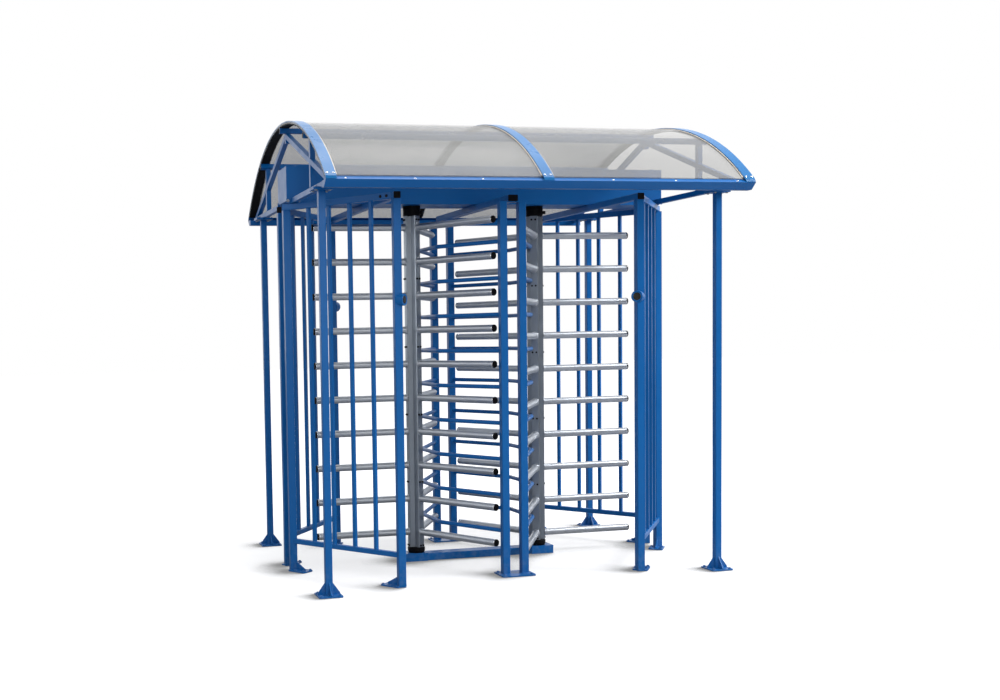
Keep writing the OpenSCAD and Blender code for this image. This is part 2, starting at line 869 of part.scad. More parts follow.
module left_roof_sheet()
    color(roof_smoke, 0.6)
        vault(-roof_half, -sheet_joint / 2, roof_r, roof_r + roof_sheet_t, roof_turn);
module right_roof_sheet()
    color(roof_smoke, 0.6)
        vault(sheet_joint / 2, roof_half, roof_r, roof_r + roof_sheet_t, roof_turn);

floor_beam();
bottom_bearings();
top_bearings();
front_middle_posts();
back_middle_posts();
left_comb();
right_comb();
front_left_post();
back_left_post();
front_right_post();
back_right_post();
left_side_posts();
right_side_posts();
front_left_panel();
back_left_panel();
front_right_panel();
back_right_panel();
cross_beams();
beam_end_caps();
drive_housing();
housing_lid();
display_stubs();
display_faces();
left_rotor_column();
left_rotor_arms();
left_rotor_caps();
right_rotor_column();
right_rotor_arms();
right_rotor_caps();
canopy_post_front_left();
canopy_post_back_left();
canopy_post_front_right();
canopy_post_back_right();
left_truss();
right_truss();
roof_purlins();
front_gutter();
back_gutter();
left_arch();
middle_arch();
right_arch();
arch_gaskets();
left_roof_sheet();
right_roof_sheet();
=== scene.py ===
"""Looks of a full-height double turnstile under a vaulted canopy.

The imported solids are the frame. The classes below dress them with finishes and add the small parts that
the solids leave out: bolts, welds, caps, trims, seals, bezels and brackets. Lengths are in metres, +X runs
along the row of rotors, +Y from the entry side to the exit side and +Z up.
"""

from __future__ import annotations

import json
import logging
import math
from collections.abc import Sequence
from dataclasses import dataclass, field
from enum import Enum

import bpy
import numpy as np
from mathutils import Matrix, Vector

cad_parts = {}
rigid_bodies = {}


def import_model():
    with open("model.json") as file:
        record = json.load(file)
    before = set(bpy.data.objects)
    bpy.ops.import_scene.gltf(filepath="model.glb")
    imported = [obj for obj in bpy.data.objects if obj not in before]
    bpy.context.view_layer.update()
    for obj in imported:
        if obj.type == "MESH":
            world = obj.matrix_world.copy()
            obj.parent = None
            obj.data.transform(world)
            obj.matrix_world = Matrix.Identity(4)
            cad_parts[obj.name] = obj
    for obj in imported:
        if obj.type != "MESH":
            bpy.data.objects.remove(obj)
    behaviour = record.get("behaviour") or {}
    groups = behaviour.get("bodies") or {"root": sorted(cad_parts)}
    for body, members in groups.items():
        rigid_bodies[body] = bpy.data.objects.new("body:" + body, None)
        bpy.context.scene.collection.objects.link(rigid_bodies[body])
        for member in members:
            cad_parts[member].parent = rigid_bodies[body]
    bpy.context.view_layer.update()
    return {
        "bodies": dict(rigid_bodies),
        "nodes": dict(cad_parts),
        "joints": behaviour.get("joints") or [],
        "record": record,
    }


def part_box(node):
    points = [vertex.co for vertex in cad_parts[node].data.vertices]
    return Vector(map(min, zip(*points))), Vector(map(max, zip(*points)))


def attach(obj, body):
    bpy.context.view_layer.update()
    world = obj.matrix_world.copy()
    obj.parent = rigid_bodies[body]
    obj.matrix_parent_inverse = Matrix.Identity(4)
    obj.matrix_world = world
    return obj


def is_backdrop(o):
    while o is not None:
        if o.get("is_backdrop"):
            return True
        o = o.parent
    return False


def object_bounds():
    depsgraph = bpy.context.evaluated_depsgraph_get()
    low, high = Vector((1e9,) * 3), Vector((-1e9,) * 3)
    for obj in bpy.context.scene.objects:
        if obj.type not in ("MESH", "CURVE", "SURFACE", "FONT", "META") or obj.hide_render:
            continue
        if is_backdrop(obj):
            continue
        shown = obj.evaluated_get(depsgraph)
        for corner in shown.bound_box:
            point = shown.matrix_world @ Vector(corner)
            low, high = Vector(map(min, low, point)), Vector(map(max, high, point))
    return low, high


log = logging.getLogger("turnstile")
logging.basicConfig(level=logging.INFO, format="%(name)s: %(message)s")

Array = np.ndarray
Node = bpy.types.Node
Pair = tuple[float, float]
Triple = tuple[float, float, float]

TAU = 2.0 * math.pi
UP: Triple = (0.0, 0.0, 1.0)
DOWN: Triple = (0.0, 0.0, -1.0)
EAST: Triple = (1.0, 0.0, 0.0)
# Factors that carry a place at the front right to the front right, back right, front left and back left
QUARTERS = np.array([[1, 1, 1], [1, -1, 1], [-1, 1, 1], [-1, -1, 1]], float)
# Corners of a square of side 2
SQUARE = np.array([[1, 1], [-1, 1], [-1, -1], [1, -1]], float)
# Gap that a part laid on another keeps
CLEAR = 0.0003
# Height of a weld's middle line over the face that it lies on
WELD_LIFT = 0.0004
# Edges sharper than this stay crisp
CRISP = math.radians(35.0)


class Slot(Enum):
    """Material slots of the record."""

    COAT = "blue_powder_coat"
    STEEL = "rotor_steel"
    PLASTIC = "black_plastic"
    RUBBER = "gasket_rubber"
    SHEET = "roof_sheet"


class Body(Enum):
    """Bodies of the mechanism."""

    FRAME = "frame"
    LEFT = "left_rotor"
    RIGHT = "right_rotor"


# ---------------------------------------------------------------- surfaces


@dataclass
class Form:
    """A closed surface held as arrays.

    Attributes:
        points: vertex places, one row each.
        loops: vertex numbers of all faces, one face after another.
        sizes: number of corners of each face.
    """

    points: Array
    loops: Array
    sizes: Array

    def copies(self, places: Array) -> Form:
        """Sets one copy of the form into each place.

        Every point p becomes R p + t for each place (R, t), and the faces of copy k use vertex numbers
        raised by k times the number of points.

        Args:
            places: matrices, shape (copies, 4, 4).

        Returns:
            One form that holds all copies.
        """
        moved = np.einsum("kij,nj->kni", places[:, :3, :3], self.points) + places[:, None, :3, 3]
        raise_by = np.arange(len(places))[:, None] * len(self.points)
        return Form(
            moved.reshape(-1, 3),
            (self.loops[None, :] + raise_by).ravel(),
            np.tile(self.sizes, len(places)),
        )


def joined(forms: Sequence[Form]) -> Form:
    """Puts several forms into one.

    Args:
        forms: the forms to join.

    Returns:
        One form with all their points and faces.
    """
    counts = np.cumsum([0] + [len(f.points) for f in forms[:-1]])
    return Form(
        np.concatenate([f.points for f in forms]),
        np.concatenate([f.loops + n for f, n in zip(forms, counts)]),
        np.concatenate([f.sizes for f in forms]),
    )


def wrapped(rings: Array, closed: bool = False) -> Form:
    """Skins a row of rings, each a closed ring of points, into a tube.

    Face (i, j) joins points j and j + 1 of ring i to the same points of ring i + 1. The last point of a ring
    is followed by its first. An open tube gets a flat face over each end, and a closed one joins its last
    ring to its first.

    Args:
        rings: places, shape (rings, points in a ring, 3), counter-clockwise seen against the row.
        closed: whether the tube bites its own tail.

    Returns:
        The closed surface, with its faces pointing out.
    """
    m, s = rings.shape[:2]
    number = np.arange(m * s).reshape(m, s)
    here = number if closed else number[:-1]
    after = np.roll(number, -1, axis=0) if closed else number[1:]
    quads = np.stack([here, np.roll(here, -1, axis=1), np.roll(after, -1, axis=1), after], axis=-1).reshape(-1, 4)
    loops, sizes = quads.ravel(), np.full(len(quads), 4)
    if not closed:
        loops = np.concatenate([loops, number[0, ::-1], number[-1]])
        sizes = np.concatenate([sizes, [s, s]])
    return Form(rings.reshape(-1, 3), loops, sizes)


def lathe(profile: Sequence[Triple], segments: int = 24) -> Form:
    """Turns a profile round +Z.

    Ring i has the radius r * ((1 - h) + h * hexagon(angle)) at height z, where hexagon(angle) is the radius of
    a hexagon whose flats are at distance 1: one over the cosine of the angle from the middle of its flat.

    Args:
        profile: (radius, height, hexness) of each ring, from the bottom up on the outside.
        segments: points in a ring.

    Returns:
        The turned form.
    """
    table = np.array(profile, float)
    angle = np.arange(segments) * TAU / segments
    sixth = math.pi / 3
    hexagon = 1.0 / np.cos(np.mod(angle + sixth / 2, sixth) - sixth / 2)
    radius = table[:, :1] * (1 - table[:, 2:] + table[:, 2:] * hexagon)
    height = np.broadcast_to(table[:, 1:2], radius.shape)
    return wrapped(np.stack([radius * np.cos(angle), radius * np.sin(angle), height], axis=-1))


def spun(section: Array, turns: int = 48) -> Form:
    """Turns a closed section round +Z into a ring.

    Ring i of points is the section's (radius, height) pairs at the angle i * 360 / turns degrees.

    Args:
        section: (radius, height) pairs, clockwise with the radius to the right.
        turns: places round the axis.

    Returns:
        The closed ring.
    """
    u = np.arange(turns)[:, None] * TAU / turns
    radius, height = section[None, :, 0], section[None, :, 1]
    x, y = radius * np.cos(u), radius * np.sin(u)
    return wrapped(np.stack([x, y, np.broadcast_to(height, x.shape)], axis=-1), closed=True)


@dataclass(frozen=True)
class Bead:
    """A bead round a circle or round the foot of a square tube, in the XY plane.

    Attributes:
        thick: radius of the bead.
        ripple: share by which it swells and shrinks, like the scales of a weld.
        steps: points along the bead.
        sides: points round it.
    """

    thick: float
    ripple: float = 0.0
    steps: int = 64
    sides: int = 6

    def round(self, radius: float) -> Form:
        """The bead round a circle, with one scale on every two points."""
        return self.laid((radius, radius), power=2, scale=2)

    def square(self, side: float) -> Form:
        """The bead round a square tube, with one scale on every three points."""
        return self.laid((side / 2, side / 2), power=8, scale=3)

    def laid(self, half: Pair, power: int, scale: int) -> Form:
        """Lays the bead along a superellipse.

        The middle line is |x / a| ** p + |y / b| ** p = 1. At angle u round it, the bead is a circle of the
        radius thick * (1 + ripple * cos(u * steps / scale)).

        Args:
            half: half widths a and b of the middle line.
            power: the exponent p, 2 for a circle and more for a squarer line.
            scale: points along each scale of the weld.

        Returns:
            The closed bead.
        """
        u = np.arange(self.steps)[:, None] * TAU / self.steps
        v = -np.arange(self.sides)[None, :] * TAU / self.sides
        c, s = np.cos(u), np.sin(u)
        reach = (np.abs(c) ** power + np.abs(s) ** power) ** (-1 / power)
        thick = self.thick * (1 + self.ripple * np.cos(u * self.steps / scale))
        x = c * (reach * half[0] + thick * np.cos(v))
        y = s * (reach * half[1] + thick * np.cos(v))
        return wrapped(np.stack([x, y, np.broadcast_to(thick * np.sin(v), x.shape)], axis=-1), closed=True)


def rounded_square(half: Pair, corner: float, per_corner: int = 4) -> Array:
    """Outline of a rectangle with round corners.

    Each corner is a quarter circle of radius corner about a point that is corner inside both sides.

    Args:
        half: half the width and half the depth.
        corner: corner radius.
        per_corner: points in each corner.

    Returns:
        Places in the plane, counter-clockwise, shape (4 * per_corner, 2).
    """
    quarter = np.linspace(0, math.pi / 2, per_corner)
    angle = np.tile(quarter, 4) + np.repeat(np.arange(4) * math.pi / 2, per_corner)
    centre = np.repeat(SQUARE, per_corner, axis=0) * (np.array(half) - corner)
    return centre + corner * np.column_stack([np.cos(angle), np.sin(angle)])


def slab(outline: Array, heights: Sequence[float], insets: Sequence[float]) -> Form:
    """Stacks one outline along +Z, drawn in at each height by a share of its size.

    Ring i is the outline times (1 - inset i / mean radius) at height i.

    Args:
        outline: places in the plane, counter-clockwise, about the origin.
        heights: height of each ring, rising.
        insets: how far each ring is drawn in.

    Returns:
        The closed slab.
    """
    mean = float(np.linalg.norm(outline, axis=1).mean())
    flat = outline[None] * (1 - np.array(insets, float)[:, None, None] / mean)
    z = np.broadcast_to(np.array(heights, float)[:, None, None], flat.shape[:2] + (1,))
    return wrapped(np.concatenate([flat, z], axis=-1))


def carried(path: Array, section: Array, lift: Array) -> Form:
    """Carries a section along a path.

    Ring i is path i + a * side i + b * lift i for each point (a, b) of the section, where side is lift
    crossed with the path's direction.

    Args:
        path: places along the path, shape (rings, 3).
        section: section points, counter-clockwise seen against the path, shape (points, 2).
        lift: the section's second axis at each place, or one for all.

    Returns:
        The closed form with flat ends.
    """
    along = np.gradient(path, axis=0)
    along /= np.linalg.norm(along, axis=1, keepdims=True)
    up = np.broadcast_to(lift, path.shape)
    side = np.cross(up, along)
    side /= np.linalg.norm(side, axis=1, keepdims=True)
    return wrapped(path[:, None] + section[None, :, :1] * side[:, None] + section[None, :, 1:] * up[:, None])


def block(half: Triple, power: float = 0.22, around: int = 24, up: int = 12) -> Form:
    """A soft-edged block: a superellipsoid.

    With c(t) = |cos t| ** p and s(t) = |sin t| ** p, both keeping their signs, the surface is
    (a c(f) c(u), b c(f) s(u), d s(f)) for u round the block and f from its bottom to its top. The poles stay
    just short of a right angle, so that a small flat face closes each of them.

    Args:
        half: half the size along each axis.
        power: the exponent p, small for sharp edges.
        around: points round the block.
        up: rings from bottom to top.

    Returns:
        The closed block.
    """
    pole = math.pi / 2 - 0.02
    u = (np.arange(around) + 0.5)[None, :] * TAU / around
    f = np.linspace(-pole, pole, up)[:, None]

    def soft(t: Array) -> Array:
        """Signed power of a sine or cosine."""
        return np.sign(t) * np.abs(t) ** power

    x = half[0] * soft(np.cos(f)) * soft(np.cos(u))
    y = half[1] * soft(np.cos(f)) * soft(np.sin(u))
    z = np.broadcast_to(half[2] * soft(np.sin(f)), x.shape)
    return wrapped(np.stack([x, y, z], axis=-1))


def frames(places: Array, normals: Array, across: Array | None = None) -> Array:
    """Frames whose +Z points along the normals.

    +X is the part of across that is square to the normal, and +Y is +Z crossed with +X.

    Args:
        places: origins, shape (n, 3).
        normals: directions, shape (n, 3) or (3,).
        across: wanted direction of +X, or None for any.

    Returns:
        Matrices, shape (n, 4, 4).
    """
    places = np.atleast_2d(np.asarray(places, float))
    z = np.broadcast_to(np.asarray(normals, float), places.shape).copy()
    z /= np.linalg.norm(z, axis=1, keepdims=True)
    if across is None:
        guess = np.where(np.abs(z[:, 2:]) > 0.9, np.array([EAST]), np.array([UP]))
    else:
        guess = np.broadcast_to(np.asarray(across, float), places.shape)
    x = guess - (guess * z).sum(1, keepdims=True) * z
    x /= np.linalg.norm(x, axis=1, keepdims=True)
    out = np.zeros((len(places), 4, 4))
    out[:, :3, 0], out[:, :3, 1], out[:, :3, 2], out[:, :3, 3] = x, np.cross(z, x), z, places
    out[:, 3, 3] = 1
    return out


# ---------------------------------------------------------------- finishes


class Board:
    """A node tree under construction."""

    def __init__(self, tree: bpy.types.NodeTree, output: str) -> None:
        """Empties a tree and gives it its output and its coordinates.

        Args:
            tree: tree of a material or of the world.
            output: type of its output node.
        """
        tree.nodes.clear()
        self.tree = tree
        self.output = self.add(output)
        self.place = self.add("ShaderNodeTexCoord")

    def add(self, kind: str, inputs: dict[str, object] | None = None, **values: object) -> Node:
        """Adds a node.

        Args:
            kind: node type.
            inputs: constants for its sockets.
            values: attributes to set on it, before its sockets.

        Returns:
            The node.
        """
        node = self.tree.nodes.new(kind)
        for key, value in values.items():
            setattr(node, key, value)
        for key, value in (inputs or {}).items():
            node.inputs[key].default_value = value
        return node

    def join(self, a: Node, b: Node, into: str | int = 0, out: str | int = 0) -> None:
        """Links output out of node a to input into of node b."""
        self.tree.links.new(a.outputs[out], b.inputs[into])

    def band(self, source: Node, out: str | int, span: Pair, to: Pair) -> Node:
        """Carries a value from one range to another.

        Args:
            source: node that gives the value.
            out: its output.
            span: range that is read.
            to: range that is given.

        Returns:
            The Map Range node.
        """
        ends = {"From Min": span[0], "From Max": span[1], "To Min": to[0], "To Max": to[1]}
        node = self.add("ShaderNodeMapRange", ends)
        self.join(source, node, "Value", out)
        return node

    def mixed(self, share: Node, below: Node, above: Node, out: str | int = 0) -> Node:
        """Mixes two shaders.

        Args:
            share: node that gives the share of the upper one.
            below: shader that shows at 0.
            above: shader that shows at 1.
            out: output of share.

        Returns:
            The Mix Shader node.
        """
        node = self.add("ShaderNodeMixShader")
        self.join(share, node, "Fac", out)
        self.join(below, node, 1)
        self.join(above, node, 2)
        return node


class Bench(Board):
    """A board with a new material and its shader."""

    def __init__(self, name: str) -> None:
        """Makes the material.

        Args:
            name: the material's name.
        """
        self.material = bpy.data.materials.new(name)
        self.material.use_nodes = True
        super().__init__(self.material.node_tree, "ShaderNodeOutputMaterial")
        self.shader = self.add("ShaderNodeBsdfPrincipled")
        self.join(self.shader, self.output, "Surface", "BSDF")

    def noise(self, scale: float, detail: float, rough: float = 0.5, stretch: Triple = (1, 1, 1)) -> Node:
        """Noise on Object coordinates.

        Args:
            scale: cells in a metre.
            detail: octaves.
            rough: weight of the fine octaves.
            stretch: factor on each axis.

        Returns:
            The noise node.
        """
        at = self.add("ShaderNodeMapping", {"Scale": stretch})
        self.join(self.place, at, "Vector", "Object")
        node = self.add("ShaderNodeTexNoise", {"Scale": scale, "Detail": detail, "Roughness": rough})
        self.join(at, node, "Vector")
        return node

    def patches(self, noise: Node, span: Pair = (0.3, 0.7), to: Pair = (0.0, 1.0)) -> Node:
        """Spreads the middle of a noise over a range, which leaves soft patches."""
        return self.band(noise, 0, span, to)

    def blend(self, share: Node, a: Node | Triple, b: Triple) -> Node:
        """Mixes two colours by a value.

        Args:
            share: node that gives the share of b.
            a: first colour, or the mix node that gives it.
            b: second colour.

        Returns:
            The mix node.
        """
        node = self.add("ShaderNodeMix", {"B": (*b, 1)}, data_type="RGBA")
        if isinstance(a, tuple):
            node.inputs["A"].default_value = (*a, 1)
        else:
            self.join(a, node, "A", "Result")
        self.join(share, node, "Factor")
        return node

    def paint(self, node: Node) -> None:
        """Sends a mix node's colour to the shader."""
        self.join(node, self.shader, "Base Color", "Result")

    def relief(self, height: Node, depth: float, strength: float, edge: float = 0.0) -> None:
        """Gives the shader a bump.

        Args:
            height: node that gives the height, 0 to 1.
            depth: depth of the relief in metres.
            strength: share of it that shows.
            edge: radius by which edges look rounded, or 0.
        """
        bump = self.add("ShaderNodeBump", {"Distance": depth, "Strength": strength})
        self.join(height, bump, "Height")
        if edge:
            bevel = self.add("ShaderNodeBevel", {"Radius": edge}, samples=4)
            self.join(bevel, bump, "Normal", "Normal")
        self.join(bump, self.shader, "Normal", "Normal")

    def fix(self, **sockets: float) -> None:
        """Sets constants on the shader's sockets, with _ for a space in their names."""
        for key, value in sockets.items():
            self.shader.inputs[key.replace("_", " ")].default_value = value


@dataclass(frozen=True)
class Finish:
    """A finish that is ready to use.

    Attributes:
        material: its material.
        slot: the record's material slot that it belongs to.
    """

    material: bpy.types.Material
    slot: Slot


@dataclass(frozen=True)
class Recipe:
    """What every finish is made from.

    Attributes:
        name: material name.
        slot: the record's material slot that it belongs to.
        colour: base colour.
    """

    name: str
    slot: Slot
    colour: Triple

    def mix(self, b: Bench) -> None:
        """Sets up the nodes of this kind of finish on a bench."""
        raise NotImplementedError

    def made(self) -> Finish:
        """Builds the material.

        Returns:
            The finish.
        """
        b = Bench(self.name)
        self.mix(b)
        return Finish(b.material, self.slot)

    def tone(self, factors: Triple, lift: float = 0.0) -> Triple:
        """A tone of the base colour.

        Args:
            factors: factor on each channel.
            lift: what is added to the red.

        Returns:
            The tone.
        """
        r, g, u = (c * f for c, f in zip(self.colour, factors))
        return r + lift, g, u


@dataclass(frozen=True)
class PowderCoat(Recipe):
    """Powder coat on steel: fine orange peel, slow drift of colour, dust low down.

    Attributes:
        roughness: mean roughness.
        peel: cells of orange peel in a metre.
        depth: depth of the peel.
        edge: radius of the edges' look.
        gloss: strength of the mirror-like part.
        dust: colour of the dust.
        dust_top: height up to which it lies.
        dust_most: most that it covers, on the floor.
    """

    roughness: float = 0.36
    peel: float = 420.0
    depth: float = 0.00016
    edge: float = 0.0016
    gloss: float = 0.25
    dust: Triple = (0.36, 0.37, 0.40)
    dust_top: float = 0.22
    dust_most: float = 0.16

    def mix(self, b: Bench) -> None:
        """Sets up the coat.

        Args:
            b: the bench that holds its nodes.
        """
        drift = b.patches(b.noise(2.3, 4.0))
        tone = b.blend(drift, self.tone((0.92, 0.95, 0.96)), self.tone((1.1, 1.05, 1.04), 0.001))
        split = b.add("ShaderNodeSeparateXYZ")
        b.join(b.place, split, 0, "Object")
        low = b.band(split, "Z", (0.0, self.dust_top), (self.dust_most, 0.0))
        speck = b.patches(b.noise(34.0, 5.0, 0.65), (0.42, 0.72))
        cover = b.add("ShaderNodeMath", operation="MULTIPLY")
        b.join(low, cover, 0)
        b.join(speck, cover, 1)
        b.paint(b.blend(cover, tone, self.dust))
        rough = b.patches(b.noise(9.0, 5.0, 0.6), to=(self.roughness - 0.05, self.roughness + 0.07))
        b.join(rough, b.shader, "Roughness")
        b.relief(b.noise(self.peel, 2.0), self.depth, 0.55, self.edge)
        b.fix(Specular_IOR_Level=self.gloss)


@dataclass(frozen=True)
class SatinSteel(Recipe):
    """Satin ground tube: fine grain, soft cloudy sheen, faint handling marks.

    Attributes:
        roughness: mean roughness.
        grain: cells of grain in a metre.
    """

    roughness: float = 0.42
    grain: float = 900.0

    def mix(self, b: Bench) -> None:
        """Sets up the steel.

        Args:
            b: the bench that holds its nodes.
        """
        cloud = b.patches(b.noise(6.0, 4.0, 0.6))
        b.paint(b.blend(cloud, self.tone((0.95, 0.955, 0.96)), self.tone((1.04, 1.035, 1.03))))
        marks = b.patches(b.noise(24.0, 5.0, 0.6), (0.3, 0.75), (self.roughness - 0.04, self.roughness + 0.05))
        b.join(marks, b.shader, "Roughness")
        b.relief(b.noise(self.grain, 2.0), 0.00002, 0.3, 0.0008)
        b.fix(Metallic=1.0, Specular_IOR_Level=0.5)


@dataclass(frozen=True)
class Moulding(Recipe):
    """Moulded plastic or rubber: fine grain, chalky patches.

    Attributes:
        bloom: colour of the chalky patches.
        roughness: mean roughness.
        grain: cells of the mould's grain in a metre.
        gloss: strength of the mirror-like part.
    """

    bloom: Triple
    roughness: float = 0.48
    grain: float = 700.0
    gloss: float = 0.06

    def mix(self, b: Bench) -> None:
        """Sets up the moulding.

        Args:
            b: the bench that holds its nodes.
        """
        b.paint(b.blend(b.patches(b.noise(18.0, 5.0, 0.6), (0.4, 0.75)), self.colour, self.bloom))
        rough = b.patches(b.noise(60.0, 3.0), to=(self.roughness - 0.06, self.roughness + 0.08))
        b.join(rough, b.shader, "Roughness")
        b.relief(b.noise(self.grain, 2.0), 0.00012, 0.5, 0.001)
        b.fix(Specular_IOR_Level=self.gloss)


@dataclass(frozen=True)
class SmokedSheet(Recipe):
    """Smoked see-through roof sheet: even grey tint, glossy, a trace of dust in long flecks.

    Attributes:
        cover: opacity of one sheet.
        roughness: least roughness of its face.
        gloss: strength of the mirror-like part.
    """

    cover: float = 0.46
    roughness: float = 0.2
    gloss: float = 0.22

    def mix(self, b: Bench) -> None:
        """Sets up the sheet.

        Args:
            b: the bench that holds its nodes.
        """
        cloud = b.patches(b.noise(3.0, 4.0, 0.55))
        b.paint(b.blend(cloud, self.tone((0.96, 0.96, 0.96)), self.tone((1.05, 1.05, 1.04))))
        flecks = b.noise(48.0, 5.0, 0.65, (1.0, 1.0, 0.2))
        b.join(b.patches(flecks, (0.45, 0.8), (self.cover, self.cover + 0.04)), b.shader, "Alpha")
        rough = b.patches(b.noise(12.0, 3.0), to=(self.roughness, self.roughness + 0.08))
        b.join(rough, b.shader, "Roughness")
        b.relief(b.noise(7.0, 2.0), 0.0006, 0.3)
        b.fix(Specular_IOR_Level=self.gloss)


class Finishes:
    """All finishes of the object, built once."""

    def __init__(self) -> None:
        """Builds every finish."""
        blue = (0.0004, 0.106, 0.352)
        coat, steel, black = Slot.COAT, Slot.STEEL, Slot.PLASTIC
        self.coat = PowderCoat("blue_powder_coat", coat, blue).made()
        self.strip = PowderCoat(
            "blue_coat_on_strips", coat, (0.001, 0.120, 0.33), 0.30, 380.0, 0.0001, gloss=0.42,
        ).made()
        self.weld = PowderCoat("blue_coat_on_weld", coat, blue, 0.42, 900.0, 0.0003, 0.0004).made()
        self.cap = PowderCoat("touched_up_bolt", coat, (0.03, 0.13, 0.36), 0.4, 700.0, 0.0002, 0.0004).made()
        self.steel = SatinSteel("satin_steel", steel, (0.50, 0.53, 0.57)).made()
        self.column = SatinSteel("column_steel", steel, (0.27, 0.305, 0.35), 0.36).made()
        self.rim = SatinSteel("turned_rim", steel, (0.74, 0.75, 0.77), 0.2, 1500.0).made()
        self.zinc = SatinSteel("zinc_plated", steel, (0.34, 0.37, 0.41), grain=1200.0).made()
        self.plastic = Moulding("black_plastic", black, (0.003, 0.003, 0.004), (0.007, 0.007, 0.008)).made()
        self.bolt_black = Moulding(
            "black_oxide", black, (0.012, 0.012, 0.014), (0.03, 0.03, 0.032), 0.34, 1500.0,
        ).made()
        self.rubber = Moulding(
            "seal_rubber", Slot.RUBBER, (0.008, 0.008, 0.009), (0.016, 0.016, 0.017), 0.62, 500.0,
        ).made()
        # The seals' pale cream is a painted highlight: on a real seal, it stands in for the glow along the sheets'
        # edges.
        self.seal = Moulding("seal_painted_edge_highlight", Slot.SHEET, (0.62, 0.55, 0.46), (0.70, 0.64, 0.55), 0.5, 400.0, 0.3).made()
        self.lens = Moulding(
            "display_lens", black, (0.022, 0.021, 0.020), (0.034, 0.031, 0.028), 0.16, 200.0, 0.4,
        ).made()
        self.sheet = SmokedSheet("smoked_sheet", Slot.SHEET, (0.27, 0.27, 0.265)).made()

    def by_slot(self) -> dict[str, Finish]:
        """Finish of each material slot of the record."""
        return {f.slot.value: f for f in (self.coat, self.steel, self.plastic, self.rubber, self.sheet)}


def built(name: str, form: Form, finish: Finish, body: Body = Body.FRAME) -> None:
    """Puts a form into the scene as a piece.

    Args:
        name: the piece's name.
        form: its surface.
        finish: its finish.
        body: the body that it rides on.
    """
    mesh = bpy.data.meshes.new(name)
    mesh.vertices.add(len(form.points))
    mesh.vertices.foreach_set("co", form.points.astype(np.float32).ravel())
    mesh.loops.add(len(form.loops))
    mesh.loops.foreach_set("vertex_index", form.loops.astype(np.int32))
    mesh.polygons.add(len(form.sizes))
    starts = np.concatenate([[0], np.cumsum(form.sizes)[:-1]])
    mesh.polygons.foreach_set("loop_start", starts.astype(np.int32))
    mesh.update(calc_edges=True)
    mesh.validate()
    mesh.polygons.foreach_set("use_smooth", np.ones(len(mesh.polygons), bool))
    mesh.set_sharp_from_angle(angle=CRISP)
    mesh.materials.append(finish.material)
    piece = bpy.data.objects.new(name, mesh)
    bpy.context.scene.collection.objects.link(piece)
    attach(piece, body.value)
    log.info("%s: %d faces on %s", name, len(mesh.polygons), body.value)


# ---------------------------------------------------------------- small parts


@dataclass(frozen=True)
class Hardware:
    """Shapes of the fasteners, each a profile turned round its axis.

    Attributes:
        anchor: apothem of an anchor bolt's hexagon.
        anchor_h: height of its head.
        washer: radius of its washer.
        joint: apothem of a frame bolt's hexagon.
        cap: radius of a black cap screw.
        pan: radius of a roof screw.
    """

    anchor: float = 0.0072
    anchor_h: float = 0.0052
    washer: float = 0.0100
    joint: float = 0.0065
    cap: float = 0.0062
    pan: float = 0.0042

    def anchor_bolt(self) -> Form:
        """Washer, hexagon nut with turned edges, and the domed end of the stud."""
        a, h, w = self.anchor, self.anchor_h, self.washer
        return lathe([
            (w, 0, 0), (w, 0.0016, 0), (w - 0.0006, 0.0022, 0), (a * 1.02, 0.0022, 0), (a * 0.98, 0.0023, 1),
            (a, 0.0032, 1), (a, h, 1), (a * 0.98, h + 0.001, 0.5), (a * 0.66, h + 0.0012, 0),
            (0.0042, h + 0.0012, 0), (0.0042, h + 0.0024, 0), (0.0034, h + 0.0032, 0), (0.0004, h + 0.0034, 0),
        ])

    def joint_bolt(self) -> Form:
        """Hexagon head with a pressed flange and a dished top."""
        a = self.joint
        return lathe([
            (a * 1.5, 0, 0), (a * 1.5, 0.0010, 0), (a * 1.12, 0.0018, 0), (a, 0.0022, 1), (a, 0.0055, 1),
            (a * 0.96, 0.0064, 0.4), (a * 0.62, 0.0062, 0), (a * 0.5, 0.0056, 0), (0.0003, 0.0055, 0),
        ])

    def cap_screw(self) -> Form:
        """Round head with a hexagon socket."""
        r = self.cap
        return lathe([
            (r, 0, 0), (r, 0.0046, 0), (r * 0.93, 0.0056, 0), (r * 0.84, 0.0060, 0), (r * 0.56, 0.0060, 0),
            (r * 0.46, 0.0058, 1), (r * 0.45, 0.0026, 1), (r * 0.3, 0.0022, 0), (0.0003, 0.0021, 0),
        ])

    def pan_screw(self) -> Form:
        """Low domed head on a sealing washer."""
        r = self.pan
        return lathe([
            (r * 1.5, 0, 0), (r * 1.5, 0.0009, 0), (r * 1.3, 0.0014, 0), (r, 0.0014, 0), (r * 0.96, 0.0030, 0),
            (r * 0.78, 0.0042, 0), (r * 0.5, 0.0048, 0), (r * 0.32, 0.0048, 1), (r * 0.28, 0.0032, 1),
            (0.0003, 0.0031, 0),
        ], 18)

    def bearing_bolt(self) -> Form:
        """Plain round head under a bearing."""
        return lathe([(0.0048, -0.0005, 0), (0.0048, 0.0030, 0), (0.0040, 0.0040, 0), (0.0003, 0.0041, 0)], 16)

    def rail_plug(self) -> Form:
        """Round plug with a dished face."""
        return lathe([
            (0.0088, -0.001, 0), (0.0088, 0.0016, 0), (0.0076, 0.0030, 0), (0.0050, 0.0036, 0),
            (0.0044, 0.0030, 0), (0.0003, 0.0029, 0),
        ], 20)


